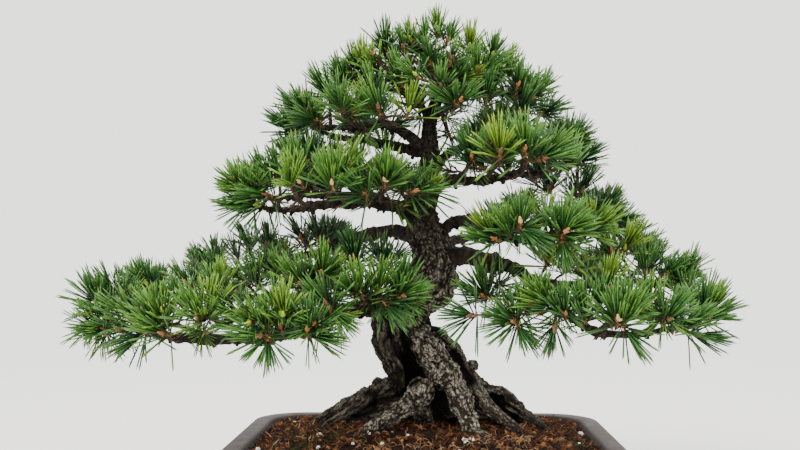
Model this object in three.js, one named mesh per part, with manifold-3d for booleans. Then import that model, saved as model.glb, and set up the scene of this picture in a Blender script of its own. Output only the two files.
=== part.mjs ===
// A Japanese black pine bonsai in a lipped tray pot, in millimetres, +Z up, with its front towards -Y.
//
// The tree is one grown body: a leaning trunk of fused strands, its surface roots and its limbs. Each
// spray is a side branch of its own with tufts of needles, and stands 0.3 mm off the limb that it grows
// from. The soil fills the pot up to the roots, and the pot is a rounded tray with a broad lip and feet.
import * as THREE from "three";
import { mergeVertices } from "three/addons/utils/BufferGeometryUtils.js";
import Module from "manifold-3d";

const wasm = await Module();
wasm.setup();

// Driving dimensions of the pot
const POT_LENGTH = 410;
const POT_DEPTH = 320;
const POT_HEIGHT = 95;
const LIP_WIDTH = 21;
const LIP_THICKNESS = 13;
const FOOT_HEIGHT = 12;
const FLOOR_THICKNESS = 12;
const WALL_THICKNESS = 9;
const WALL_TAPER = 18;
const CORNER_RADIUS = 58;
const CORNER_STEPS = 6;
const EDGE_BEVEL = 2;
const LIP_SLOPE = 4;
const BASE_BEVEL = 5;
const DRAIN_RADIUS = 9;
const DRAIN_OFFSET = 92;
const FOOT_HALF_SIZE = [34, 22];
const FOOT_PLACE = [126, 88];
// The plan of a foot, from its outer corner, as shares of its half size. Its sides draw in from there.
const FOOT_PLAN = [[1, 1], [-1, 0.84], [-1, -1], [0.88, -1]];
const FOOT_LEVELS = [[0.86, 0], [1, 6], [1.08, 13]];

// Driving dimensions of the soil, with its edge below the lip and its middle mounded up to the roots
const SOIL_EDGE_DROP = 8;
const SOIL_MOUND = 22;
const SOIL_ROUGHNESS = 2.6;

// The clearance between bodies that touch on the real tree
const GAP = 0.3;

// Driving dimensions of the wood: the length of its steps, the sides round it and its bark's relief
const CORE_STEP = 22;
const CORE_SIDES = 11;
const STRAND_STEP = 20;
const STRAND_SIDES = 6;
const LIMB_STEP = 34;
const LIMB_SIDES = 5;
const THICK_LIMB_SIDES = 6;
const THICK_LIMB_RADIUS = 9;
const TRUNK_RELIEF = 0.04;
const LIMB_RELIEF = 0.03;

// Driving dimensions of the foliage. A needle's lean is its angle from its tuft's axis, in radians,
// for the needles round the tip, round the middle and round the back of a tuft.
const NEEDLE_LENGTH = 39;
const NEEDLE_LEANS = [0.42, 1.02, 1.5];
const NEEDLE_SPREAD = 0.2;
const NEEDLE_RADII = [1.05, 0.15];
const NEEDLE_TRIES = 12;
const TRIES_AT_FULL_LENGTH = 8;
const SHORT_NEEDLE = 0.72;
const TUFT_SIDES = 3;
const TUFT_RADIUS = 1.5;
const TUFT_TOP = 2.2;
const TUFT_SHOULDER = 0.9;
const TUFT_SPACING = 11;
const TUFT_STRIDE = 2;
const FEWEST_TUFTS = 6;
const MOST_TUFTS = 8;
const TWIG_LENGTH = 17;
const TWIG_RADIUS = 0.95;
const RIB_SIDES = 4;
const RIB_STEPS = 3;
const RIB_RADII = [2.9, 1.9];
const RIB_SHARE = 0.86;

const MATERIALS = {
  pot: new THREE.MeshStandardMaterial({ color: 0x5c4c48, roughness: 0.72, metalness: 0 }),
  soil: new THREE.MeshStandardMaterial({ color: 0x54301c, roughness: 0.95, metalness: 0 }),
  bark: new THREE.MeshStandardMaterial({ color: 0x4a4139, roughness: 0.9, metalness: 0 }),
  needles: new THREE.MeshStandardMaterial({ color: 0x2f6b2c, roughness: 0.55, metalness: 0 }),
};

// Trunk core and strands: each point is x, y, z and the radius there
const TRUNK_CORE = [
  [18, 12, 66, 42],
  [18, 12, 104, 39],
  [14, 13, 129, 35],
  [6, 13, 155, 31],
  [-6, 10, 182, 29],
  [-18, 4, 208, 28],
  [-20, 0, 228, 29],
  [-9, 0, 245, 28],
  [4, 0, 262, 26.5],
  [10, 0, 281, 25],
  [7, 2, 301, 22.5],
  [0, 4, 318, 19.9],
  [-3, 4, 340, 17],
  [3, 4, 363, 14.2],
  [6, 2, 385, 12.4],
  [6, 0, 406, 10.8],
  [5, 0, 423, 9.2],
  [8, 2, 449, 6.6],
  [14, 4, 470, 5.2],
  [15, 3, 484, 4.6],
];
const STRANDS = [
  [
    [-25, -8, 244, 14],
    [-41, -8, 222, 15],
    [-43, -8, 198, 14],
    [-35, -6, 176, 13],
    [-28, -2, 157, 12],
    [-40, 8, 144, 11],
    [-59, 16, 136, 10],
    [-78, 22, 127, 9],
    [-98, 26, 117, 7.6],
    [-118, 28, 104, 6.2],
    [-138, 30, 86, 4.4],
  ],
  [
    [-16, -12, 244, 15],
    [-13, -18, 218, 14.5],
    [0, -26, 194, 14.5],
    [15, -32, 177, 15.5],
    [27, -37, 160, 14.5],
    [36, -42, 143, 12.7],
    [42, -48, 129, 10.8],
    [48, -54, 113, 9.6],
    [54, -60, 97, 8.4],
    [59, -64, 77, 6],
  ],
  [
    [-4, -2, 239, 14],
    [-2, 0, 214, 12],
    [17, -2, 194, 12.5],
    [34, -4, 174, 12.5],
    [49, -8, 155, 11],
    [60, -22, 138, 8.4],
    [72, -34, 125, 7],
    [86, -42, 115, 6],
    [99, -48, 104, 5.2],
    [112, -54, 86, 4.2],
  ],
  [
    [36, 6, 168, 12],
    [52, 8, 150, 11],
    [70, 10, 137, 9.4],
    [85, 10, 132, 8.6],
    [97, 10, 121, 7.6],
    [105, 8, 108, 6.8],
    [116, 6, 94, 5.8],
    [126, 4, 78, 4.4],
  ],
  [
    [4, -16, 145, 11],
    [-4, -34, 143, 13.5],
    [-14, -44, 134, 11],
    [-27, -51, 127, 9.6],
    [-43, -58, 118, 8.4],
    [-57, -64, 109, 7.2],
    [-71, -68, 98, 6],
    [-84, -71, 82, 4.4],
  ],
  [
    [-10, 18, 200, 16],
    [-16, 30, 168, 15],
    [-28, 42, 142, 12.5],
    [-46, 60, 124, 9.5],
    [-64, 78, 107, 7],
    [-78, 92, 86, 4.5],
  ],
  [
    [10, 18, 190, 15],
    [24, 32, 160, 14],
    [34, 48, 136, 12],
    [42, 68, 118, 9],
    [50, 90, 102, 6.5],
    [56, 106, 84, 4.5],
  ],
  [
    [26, 20, 156, 14],
    [50, 34, 134, 10.5],
    [74, 46, 117, 8],
    [96, 56, 101, 6],
    [112, 66, 83, 4],
  ],
];
const KNOTS = [
  [15, -7, 257, 14],
  [-26, 8, 262, 11],
];

// Limbs: the line that each follows, its radius at both ends, and its sprays. A spray is the place
// along the limb where its rib starts, the point that the rib ends at, and how far the rib arches.
const LIMBS = {
  left_low_front: {
    line: [[0, 0, 250], [-43, -30, 239], [-79, -60, 232], [-125, -95, 215], [-172, -110, 208],
      [-222, -112, 206], [-269, -104, 211], [-302, -97, 218]],
    radii: [13, 2.6],
    sprays: [[0.1, -22, -80, 247, 8], [0.19, -60, -125, 249, 6], [0.31, -100, -165, 225, 12],
      [0.45, -145, -180, 218, 16], [0.58, -204, -175, 233, 2], [0.73, -258, -160, 218, 10],
      [0.82, -332, -45, 247, -8], [1, -329, -92, 222, 3]],
  },
  left_low_mid: {
    line: [[-79, -60, 232], [-121, -45, 244], [-175, -25, 245], [-235, -8, 244], [-286, 5, 247]],
    radii: [6, 2.4],
    sprays: [[0.28, -101, -85, 271, -8], [0.6, -234, 45, 276, -8], [1, -319, 20, 258, -4]],
  },
  left_low_back: {
    line: [[-5, 5, 307], [-33, 25, 318], [-69, 50, 313], [-107, 85, 300], [-164, 105, 287],
      [-219, 108, 276], [-251, 104, 271]],
    radii: [9.5, 2.4],
    sprays: [[0.27, -37, 150, 271, 6], [0.47, -113, 145, 307, -6], [0.68, -195, 150, 292, -8],
      [1, -274, 100, 277, -2]],
  },
  left_mid_front: {
    line: [[-1, 0, 327], [-22, -10, 341], [-59, -25, 347], [-100, -45, 345], [-141, -55, 338],
      [-166, -55, 339]],
    radii: [10, 2.6],
    sprays: [[0.14, -8, -75, 353, 4], [0.3, -37, -80, 371, -4], [0.5, -89, -105, 373, -8],
      [0.74, -132, -115, 370, -6], [1, -190, -60, 347, 3]],
  },
  left_mid_back: {
    line: [[-43, -15, 348], [-84, 15, 357], [-132, 40, 359], [-176, 50, 357]],
    radii: [6, 2.4],
    sprays: [[0.05, -28, 115, 378, 2], [0.6, -138, 115, 383, -4], [1, -205, 50, 370, -4]],
  },
  left_high_front: {
    line: [[4, 0, 406], [-16, -5, 421], [-43, -15, 433], [-75, -30, 428], [-106, -35, 427]],
    radii: [7.5, 2.4],
    sprays: [[0.38, -47, -80, 439, -4], [0.66, -85, -95, 444, -6], [1, -131, -38, 432, 1]],
  },
  left_high_back: {
    line: [[4, 0, 401], [-28, 20, 412], [-63, 45, 422], [-105, 62, 430], [-122, 64, 437]],
    radii: [7, 2.4],
    sprays: [[0.5, -90, 115, 471, -4], [1, -144, 62, 454, -4]],
  },
  right_high_front: {
    line: [[4, 4, 363], [28, -10, 372], [60, -30, 370], [90, -45, 374], [127, -48, 377]],
    radii: [8, 2.6],
    sprays: [[0.25, 48, -70, 390, 0], [0.52, 73, -115, 385, 2], [0.76, 101, -110, 394, -8],
      [1, 153, -52, 393, -2]],
  },
  right_high_back: {
    line: [[6, 6, 385], [35, 50, 412], [77, 90, 428], [133, 110, 431], [158, 108, 428]],
    radii: [6.5, 2.4],
    sprays: [[0.5, 92, 130, 460, -4], [1, 181, 105, 422, 2]],
  },
  right_mid_front: {
    line: [[6, 2, 309], [37, -5, 327], [62, -25, 322], [90, -50, 308], [127, -70, 306],
      [152, -72, 311]],
    radii: [8.5, 2.6],
    sprays: [[0.3, 73, -100, 309, 6], [0.55, 92, -130, 318, 0], [0.76, 130, -130, 312, 2],
      [1, 174, -72, 324, -4]],
  },
  right_mid_back: {
    line: [[4, 6, 302], [35, 60, 308], [90, 110, 322], [153, 130, 332], [198, 124, 339]],
    radii: [7.5, 2.4],
    sprays: [[0.5, 125, 175, 352, -4], [1, 224, 120, 346, -4]],
  },
  right_low_back: {
    line: [[10, 0, 283], [37, -5, 290], [67, -15, 284], [94, -20, 277], [117, -25, 263],
      [163, -10, 257], [214, 4, 261], [257, 4, 261]],
    radii: [11.5, 2.6],
    sprays: [[0.26, 64, -65, 247, 10], [0.64, 203, 85, 276, -4], [0.84, 250, 60, 299, -8],
      [1, 285, 0, 260, -2]],
  },
  right_low_front: {
    line: [[117, -25, 263], [136, -60, 241], [170, -92, 214], [213, -102, 212], [254, -96, 220]],
    radii: [6.5, 2.6],
    sprays: [[0.06, 90, -115, 227, 14], [0.24, 126, -145, 233, 12], [0.55, 180, -175, 231, 8],
      [0.8, 224, -160, 233, 4], [1, 280, -88, 232, -3]],
  },
  crown_left: {
    line: [[12, 3, 438], [-10, -8, 461], [-29, -20, 474], [-38, -26, 480]],
    radii: [4.6, 2.4],
    sprays: [[0.6, -78, -25, 487, -4], [1, -36, -50, 499, -6]],
  },
  crown_right: {
    line: [[12, 3, 445], [41, -8, 463], [74, -10, 469], [97, 0, 466]],
    radii: [4.6, 2.4],
    sprays: [[0.6, 83, -35, 488, -6], [1, 120, 15, 466, 0]],
  },
  crown_back: {
    line: [[15, 4, 458], [22, 40, 478], [38, 66, 486], [54, 76, 488]],
    radii: [4.2, 2.4],
    sprays: [[0.6, 28, 105, 505, -2], [1, 80, 85, 495, 0]],
  },
  crown_top: {
    line: [[15, 3, 470], [15, 1, 482], [14, -3, 492]],
    radii: [4.2, 2.6],
    sprays: [[0.1, 17, -80, 463, 2], [1, 4, -14, 512, 2]],
  },
};

// A number from 0 to 1 that is the same at every run for the same three keys.
function draw(a, b, c) {
  const wave = Math.sin(a * 12.9898 + b * 78.233 + c * 37.719) * 43758.5453;
  return wave - Math.floor(wave);
}

const vector = (p) => new THREE.Vector3(p[0], p[1], p[2]);
const UP = new THREE.Vector3(0, 0, 1);

// Closes a stack of rings with the same number of points into one surface that faces out.
function skin(rings) {
  const sides = rings[0].length;
  const positions = rings.flat().flatMap((p) => [p.x, p.y, p.z]);
  const index = [];
  for (let i = 0; i + 1 < rings.length; i += 1) {
    for (let j = 0; j < sides; j += 1) {
      const a = i * sides + j;
      const b = i * sides + ((j + 1) % sides);
      index.push(a, b, b + sides, a, b + sides, a + sides);
    }
  }
  const last = (rings.length - 1) * sides;
  for (const [start, ring, turn] of [[0, rings[0], 1], [last, rings[rings.length - 1], 0]]) {
    const middle = ring.reduce((sum, p) => sum.add(p), new THREE.Vector3()).divideScalar(sides);
    const centre = positions.length / 3;
    positions.push(middle.x, middle.y, middle.z);
    for (let j = 0; j < sides; j += 1) {
      const pair = [start + j, start + ((j + 1) % sides)];
      index.push(centre, pair[turn], pair[1 - turn]);
    }
  }
  const geometry = new THREE.BufferGeometry();
  geometry.setAttribute("position", new THREE.Float32BufferAttribute(positions, 3));
  geometry.setIndex(index);
  return geometry;
}

function solid(geometry) {
  const bare = geometry.index ? geometry.toNonIndexed() : geometry.clone();
  bare.deleteAttribute("normal");
  bare.deleteAttribute("uv");
  const merged = mergeVertices(bare, 1e-4);
  return new wasm.Manifold(
    new wasm.Mesh({
      numProp: 3,
      vertProperties: new Float32Array(merged.attributes.position.array),
      triVerts: new Uint32Array(merged.index.array),
    }),
  );
}

const union = (solids) => solids.reduce((sum, next) => sum.add(next));

// The largest body of a solid, so that a scrap that a cut leaves loose is dropped.
function largest(body) {
  return body.decompose().reduce((best, next) => (next.volume() > best.volume() ? next : best));
}

// A name, a solid and a material as one mesh of the part.
function node(name, body, material) {
  const made = body.getMesh();
  const geometry = new THREE.BufferGeometry();
  geometry.setAttribute("position", new THREE.Float32BufferAttribute(made.vertProperties, 3));
  geometry.setIndex(new THREE.Uint32BufferAttribute(made.triVerts, 1));
  geometry.computeVertexNormals();
  const mesh = new THREE.Mesh(geometry, material);
  mesh.name = name;
  return mesh;
}

// Bark relief: long flutes that wind round the wood, as a share of the radius.
function flutes(angle, along, depth) {
  const ridges = Math.sin(3 * angle + along / 34) + 0.7 * Math.sin(5 * angle - along / 21);
  return 1 + depth * (ridges + 0.6 * Math.sin(2 * angle + along / 9));
}

// Stations along points of x, y, z and radius, about one step apart: a centre and a radius for each.
function stations(points, step) {
  const curve = new THREE.CatmullRomCurve3(points.map(vector), false, "centripetal");
  const count = Math.max(2, Math.round(curve.getLength() / step));
  return Array.from({ length: count + 1 }, (_, i) => {
    const place = curve.getUtoTmapping(i / count) * (points.length - 1);
    const k = Math.min(points.length - 2, Math.floor(place));
    const radius = THREE.MathUtils.lerp(points[k][3], points[k + 1][3], place - k);
    return { centre: curve.getPointAt(i / count), radius };
  });
}

// A tapered branch with closed ends along its stations. grow is added to its radius.
function branch(line, sides, depth, grow = 0) {
  const tangents = line.map((_, i) => {
    const ahead = line[Math.min(i + 1, line.length - 1)].centre;
    return ahead.clone().sub(line[Math.max(i - 1, 0)].centre).normalize();
  });
  let across = new THREE.Vector3(0.31, 0.87, 0.17);
  let along = 0;
  const rings = line.map(({ centre, radius }, i) => {
    along += i > 0 ? centre.distanceTo(line[i - 1].centre) : 0;
    across = across.clone().addScaledVector(tangents[i], -across.dot(tangents[i])).normalize();
    const other = new THREE.Vector3().crossVectors(tangents[i], across);
    return Array.from({ length: sides }, (_, j) => {
      const angle = (j / sides) * 2 * Math.PI;
      const r = radius * flutes(angle, along, depth) + grow;
      return centre.clone().addScaledVector(across, r * Math.cos(angle))
        .addScaledVector(other, r * Math.sin(angle));
    });
  });
  return solid(skin(rings));
}

function limbPoints(limb) {
  const last = limb.line.length - 1;
  return limb.line.map((p, i) => [...p, THREE.MathUtils.lerp(...limb.radii, (i / last) ** 0.8)]);
}

// A ring of a rectangle with round corners, at height z, counterclockwise from above.
function roundedRing(halfX, halfY, corner, z) {
  const ring = [];
  for (const [sx, sy, turn] of [[1, 1, 0], [-1, 1, 1], [-1, -1, 2], [1, -1, 3]]) {
    for (let k = 0; k <= CORNER_STEPS; k += 1) {
      const angle = ((turn + k / CORNER_STEPS) * Math.PI) / 2;
      const x = sx * (halfX - corner) + corner * Math.cos(angle);
      const y = sy * (halfY - corner) + corner * Math.sin(angle);
      ring.push(new THREE.Vector3(x, y, z));
    }
  }
  return ring;
}

// A ring of the pot, inset from the outline of its lip.
function potRing(inset, z) {
  return roundedRing(POT_LENGTH / 2 - inset, POT_DEPTH / 2 - inset, CORNER_RADIUS - inset * 0.6, z);
}

const LIP_UNDERSIDE = POT_HEIGHT - LIP_THICKNESS;
const BODY_INSET = LIP_WIDTH - WALL_THICKNESS;
const FLOOR_TOP = FOOT_HEIGHT + FLOOR_THICKNESS;

function makePot() {
  const tray = solid(skin([
    potRing(BODY_INSET + WALL_TAPER + BASE_BEVEL, FOOT_HEIGHT),
    potRing(BODY_INSET + WALL_TAPER, FOOT_HEIGHT + BASE_BEVEL),
    potRing(BODY_INSET, LIP_UNDERSIDE - LIP_SLOPE),
    potRing(0, LIP_UNDERSIDE),
    potRing(0, POT_HEIGHT - EDGE_BEVEL),
    potRing(EDGE_BEVEL, POT_HEIGHT),
    potRing(LIP_WIDTH - EDGE_BEVEL, POT_HEIGHT),
    potRing(LIP_WIDTH, POT_HEIGHT - EDGE_BEVEL),
    potRing(LIP_WIDTH + WALL_TAPER, FLOOR_TOP),
  ]));
  const feet = [-1, 1].flatMap((sx) => [-1, 1].map((sy) => makeFoot(sx, sy)));
  const drains = [-1, 1].map((sx) => makeDrain(sx * DRAIN_OFFSET));
  return union([tray, ...feet]).subtract(union(drains));
}

function makeDrain(x) {
  const geometry = new THREE.CylinderGeometry(DRAIN_RADIUS, DRAIN_RADIUS, 2 * FLOOR_TOP, 12);
  return solid(geometry.rotateX(Math.PI / 2).translate(x, 0, FLOOR_TOP - FLOOR_THICKNESS / 2));
}

// A low bracket foot near one corner, narrower at the ground. The mirrored plan is turned round, so
// that its points still run counterclockwise.
function makeFoot(sx, sy) {
  const [halfX, halfY] = FOOT_HALF_SIZE;
  const place = new THREE.Vector3(sx * FOOT_PLACE[0], sy * FOOT_PLACE[1], 0);
  const plan = sx * sy > 0 ? FOOT_PLAN : [...FOOT_PLAN].reverse();
  const rings = FOOT_LEVELS.map(([share, z]) =>
    plan.map(([x, y]) =>
      new THREE.Vector3(sx * x * halfX * share, sy * y * halfY * share, z).add(place)));
  return solid(skin(rings));
}

// The soil: a plug of the pot's inside with a mounded top, cut clear of the roots.
function makeSoil(rootsClear) {
  const edge = POT_HEIGHT - SOIL_EDGE_DROP;
  const wallTop = POT_HEIGHT - EDGE_BEVEL;
  const wallAt = (z) => LIP_WIDTH + (WALL_TAPER * (wallTop - z)) / (wallTop - FLOOR_TOP);
  const bottom = potRing(wallAt(FLOOR_TOP) + 1.5 * GAP, FLOOR_TOP + GAP);
  const rim = potRing(wallAt(edge) + 1.5 * GAP, edge);
  const top = [0.74, 0.4].map((share, i) =>
    rim.map((p, j) => {
      const rise = SOIL_MOUND * (1 - share ** 2) + SOIL_ROUGHNESS * (draw(i, j, 5) - 0.5);
      return new THREE.Vector3(p.x * share, p.y * share, edge + rise);
    }));
  return largest(solid(skin([bottom, rim, ...top])).subtract(rootsClear));
}

const coreLine = stations(TRUNK_CORE, CORE_STEP);
const strandLines = STRANDS.map((points) => stations(points, STRAND_STEP));
const limbLines = Object.values(LIMBS).map((limb) => stations(limbPoints(limb), LIMB_STEP));

// The trunk and its roots. grow makes a copy with all its wood that much thicker.
function makeStump(grow) {
  const core = branch(coreLine, CORE_SIDES, TRUNK_RELIEF, grow);
  const strands = strandLines.map((line) => branch(line, STRAND_SIDES, TRUNK_RELIEF, grow));
  const knots = KNOTS.map(([x, y, z, radius]) =>
    solid(new THREE.IcosahedronGeometry(radius + grow, 1).translate(x, y, z)));
  return union([core, ...strands, ...knots]);
}

function makeLimbs(grow) {
  return union(limbLines.map((line) => {
    const sides = line[0].radius > THICK_LIMB_RADIUS ? THICK_LIMB_SIDES : LIMB_SIDES;
    return branch(line, sides, LIMB_RELIEF, grow);
  }));
}

// The point of a rib's middle line at a share s of the curve that the rib follows.
function onRib(rib, s) {
  const place = Math.min(s / RIB_SHARE, 1) * RIB_STEPS;
  const k = Math.min(RIB_STEPS - 1, Math.floor(place));
  return rib[k].centre.clone().lerp(rib[k + 1].centre, place - k);
}

// The plan of one spray: the curve of its rib and the places of its tufts. Each tuft sits on a twig
// off the rib, by turns to the left and to the right of it, and the last one is at the rib's end.
function planSpray(limbName, limb, limbKey, number) {
  const key = limbKey * 31 + number;
  const limbCurve = new THREE.CatmullRomCurve3(limb.line.map(vector), false, "centripetal");
  const [place, x, y, z, arch] = limb.sprays[number];
  const start = limbCurve.getPointAt(place);
  const end = new THREE.Vector3(x, y, z);
  const reach = start.distanceTo(end);
  const bend = start.clone().lerp(end, 0.5)
    .addScaledVector(limbCurve.getTangentAt(place), 0.12 * reach)
    .addScaledVector(UP, 2 * arch);
  const curve = new THREE.QuadraticBezierCurve3(start, bend, end);
  const rib = Array.from({ length: RIB_STEPS + 1 }, (_, i) => ({
    centre: curve.getPoint((i / RIB_STEPS) * RIB_SHARE),
    radius: THREE.MathUtils.lerp(...RIB_RADII, i / RIB_STEPS),
  }));
  const wanted = Math.round(reach / TUFT_SPACING) + 2;
  const count = THREE.MathUtils.clamp(wanted, FEWEST_TUFTS, MOST_TUFTS);
  const tufts = [];
  for (let k = 0; k < count; k += 1) {
    const atEnd = k === count - 1;
    const s = 0.22 + (0.78 * (k + 1)) / count;
    const ahead = curve.getTangent(s);
    const lateral = new THREE.Vector3().crossVectors(UP, ahead).normalize();
    const side = (k + number) % 2 ? -1 : 1;
    const rise = 0.15 + 1.2 * draw(key, k, 1);
    const twig = ahead.clone().multiplyScalar(0.5)
      .addScaledVector(lateral, side * Math.cos(rise))
      .addScaledVector(UP, Math.sin(rise))
      .normalize();
    const foot = onRib(rib, atEnd ? RIB_SHARE : s - 0.14).addScaledVector(ahead, atEnd ? -1.2 : 0);
    const length = TWIG_LENGTH * (0.75 + 0.7 * draw(key, k, 2)) * (1.25 - 0.4 * s);
    const centre = atEnd ? end.clone() : curve.getPoint(s - 0.06).addScaledVector(twig, length);
    const axis = (atEnd ? ahead.clone() : twig.clone().addScaledVector(ahead, 0.35))
      .addScaledVector(UP, 0.3)
      .normalize();
    tufts.push({ foot, centre, axis, key: k });
  }
  return { name: `spray_${limbName}_${number + 1}`, rib, tufts, key };
}

// Straight pieces of wood and needles that later needles must stay clear of. Those of one family may
// touch each other.
const placed = [];

// How near two straight pieces come, and how far along each of them, from 0 to 1.
function closest(p1, q1, p2, q2) {
  const d1 = q1.clone().sub(p1);
  const d2 = q2.clone().sub(p2);
  const r = p1.clone().sub(p2);
  const a = d1.dot(d1);
  const e = d2.dot(d2);
  const f = d2.dot(r);
  const c = d1.dot(r);
  const b = d1.dot(d2);
  const clamp = (v) => Math.min(1, Math.max(0, v));
  const turn = a * e - b * b;
  let s = turn > 1e-9 ? clamp((b * f - c * e) / turn) : 0;
  let t = (b * s + f) / e;
  if (t < 0 || t > 1) {
    t = clamp(t);
    s = clamp((b * t - c) / a);
  }
  const gap = p1.clone().addScaledVector(d1, s).distanceTo(p2.clone().addScaledVector(d2, t));
  return { gap, s, t };
}

function isClear(piece) {
  return placed.every((other) => {
    if (other.family === piece.family) return true;
    if (piece.from.distanceTo(other.from) > piece.length + other.length + 2 * NEEDLE_LENGTH) return true;
    const { gap, s, t } = closest(piece.from, piece.to, other.from, other.to);
    const mine = THREE.MathUtils.lerp(piece.radii[0], piece.radii[1], s);
    const theirs = THREE.MathUtils.lerp(other.radii[0], other.radii[1], t);
    return gap > mine + theirs + GAP;
  });
}

function straight(from, to, radii, family) {
  return { from, to, radii, family, length: from.distanceTo(to) };
}

// Marks a branch as placed, with a little more than its radius for the relief of its bark.
function placeWood(line, family) {
  for (let i = 0; i + 1 < line.length; i += 1) {
    const [a, b] = [line[i], line[i + 1]];
    placed.push(straight(a.centre, b.centre, [a.radius * 1.12, b.radius * 1.12], family));
  }
}

// The corners of a tuft's core: a point, a ring, a second ring turned by half a side, and its foot.
function tuftCorners(tuft) {
  const spin = new THREE.Quaternion().setFromUnitVectors(UP, tuft.axis);
  const ringAt = (height, offset) => Array.from({ length: TUFT_SIDES }, (_, j) => {
    const angle = ((j + offset) / TUFT_SIDES) * 2 * Math.PI + tuft.key;
    const flat = [TUFT_RADIUS * Math.cos(angle), TUFT_RADIUS * Math.sin(angle)];
    return new THREE.Vector3(...flat, height).applyQuaternion(spin).add(tuft.centre);
  });
  const lower = ringAt(-TUFT_SHOULDER, 0.5);
  const foot = lower.map((p) =>
    p.clone().sub(tuft.centre).multiplyScalar(TWIG_RADIUS / TUFT_RADIUS).add(tuft.foot));
  const top = tuft.axis.clone().multiplyScalar(TUFT_TOP).add(tuft.centre);
  return { top, upper: ringAt(TUFT_SHOULDER, 0), lower, foot };
}

// The three-cornered faces of a tuft's core that can carry a needle, each with that needle's lean.
function tuftFaces({ top, upper, lower }) {
  const faces = [];
  for (let j = 0; j < TUFT_SIDES; j += 1) {
    const next = (j + 1) % TUFT_SIDES;
    faces.push({ corners: [top, upper[j], upper[next]], lean: NEEDLE_LEANS[0] });
    faces.push({ corners: [lower[j], upper[next], upper[j]], lean: NEEDLE_LEANS[1] });
    faces.push({ corners: [lower[j], lower[next], upper[next]], lean: NEEDLE_LEANS[2] });
  }
  return faces;
}

// The first free tip for a needle on a face, or null where each try would touch something.
function needleTip(face, tuft, spray, order) {
  const middle = face.corners.reduce((sum, p) => sum.add(p), new THREE.Vector3()).divideScalar(3);
  const outward = middle.clone().sub(tuft.centre);
  outward.addScaledVector(tuft.axis, -outward.dot(tuft.axis)).normalize();
  const sideways = new THREE.Vector3().crossVectors(tuft.axis, outward);
  for (let attempt = 0; attempt < NEEDLE_TRIES; attempt += 1) {
    const seed = order * 17 + attempt;
    const lean = face.lean + NEEDLE_SPREAD * (2 * draw(spray.key, tuft.key, seed) - 1);
    const sway = NEEDLE_SPREAD * (2 * draw(tuft.key, spray.key, seed + 7) - 1);
    const share = attempt < TRIES_AT_FULL_LENGTH ? 1 : SHORT_NEEDLE;
    const length = NEEDLE_LENGTH * share * (1.08 - 0.2 * draw(seed, tuft.key, spray.key));
    const heading = tuft.axis.clone().multiplyScalar(Math.cos(lean))
      .addScaledVector(outward, Math.sin(lean))
      .addScaledVector(sideways, sway)
      .normalize();
    const tip = middle.clone().addScaledVector(heading, length);
    const needle = straight(middle, tip, NEEDLE_RADII, `${spray.name}/${tuft.key}`);
    if (isClear(needle)) {
      placed.push(needle);
      return tip;
    }
  }
  return null;
}

// A tuft on its twig as one closed surface: each needle is raised from a face of the core.
function makeTuft(tuft, spray) {
  const corners = tuftCorners(tuft);
  const triangles = [];
  tuftFaces(corners).forEach(({ corners: [a, b, c], lean }, order) => {
    const tip = needleTip({ corners: [a, b, c], lean }, tuft, spray, order);
    if (tip) triangles.push([a, b, tip], [b, c, tip], [c, a, tip]);
    else triangles.push([a, b, c]);
  });
  const { lower, foot } = corners;
  for (let j = 0; j < TUFT_SIDES; j += 1) {
    const next = (j + 1) % TUFT_SIDES;
    triangles.push([foot[j], foot[next], lower[next]], [foot[j], lower[next], lower[j]]);
  }
  triangles.push([foot[0], foot[2], foot[1]]);
  const geometry = new THREE.BufferGeometry();
  geometry.setFromPoints(triangles.flat());
  return solid(geometry);
}

const wood = union([makeStump(0), makeLimbs(0)]);
const woodClear = union([makeStump(GAP), makeLimbs(GAP)]);
const sprays = Object.entries(LIMBS).flatMap(([name, limb], limbKey) =>
  limb.sprays.map((_, number) => planSpray(name, limb, limbKey + 1, number)));

[coreLine, ...strandLines, ...limbLines].forEach((line) => placeWood(line, "tree"));
sprays.forEach((spray) => placeWood(spray.rib, `${spray.name}/rib`));

// The tufts that are built: the one at the end of each rib, and every other one back from it. A tuft
// whose twig would touch other wood is left out.
for (const spray of sprays) {
  const wanted = spray.tufts.filter(({ key }) => (spray.tufts.length - 1 - key) % TUFT_STRIDE === 0);
  spray.built = wanted.filter((tuft) => {
    const radii = [TWIG_RADIUS, TUFT_RADIUS];
    const twig = straight(tuft.foot, tuft.centre, radii, `${spray.name}/${tuft.key}`);
    const free = placed.every((other) => other.family === `${spray.name}/rib`
      || closest(twig.from, twig.to, other.from, other.to).gap > TUFT_RADIUS + GAP + other.radii[0]);
    if (free) placed.push(twig);
    return free;
  });
}

function makeSpray(spray) {
  const rib = branch(spray.rib, RIB_SIDES, 0);
  const tufts = spray.built.map((tuft) => makeTuft(tuft, spray));
  return largest(union([rib, ...tufts]).subtract(woodClear));
}

const tree = new THREE.Group();
tree.add(node("pot", makePot(), MATERIALS.pot));
tree.add(node("soil", makeSoil(makeStump(GAP)), MATERIALS.soil));
tree.add(node("trunk", wood, MATERIALS.bark));
for (const spray of sprays) {
  tree.add(node(spray.name, makeSpray(spray), MATERIALS.needles));
}

// The origin is under the middle of the whole, on the ground that the feet stand on.
const whole = new THREE.Box3().setFromObject(tree);
const middle = whole.getCenter(new THREE.Vector3());
tree.position.set(-middle.x, -middle.y, 0);

export default tree;
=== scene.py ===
# %% [markdown]
# # A Japanese black pine bonsai in its tray
#
# A bonsai pine is four things that are made in four ways: old wood with deep plated bark, sprays of
# stiff needles, a bed of shredded bark mulch, and an unglazed clay tray. This notebook builds each of
# them round the solids of the CAD model, in metres, and in the same frame: +X to the right, +Y to the
# back, +Z up. The CAD model holds the main forms. What is made here is finer: plates and cracks of
# bark, tens of thousands of needles, buds, moss, fibres and grit.

# %% The frame
import math
import random

import bpy
import numpy as np
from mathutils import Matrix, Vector, noise


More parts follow.
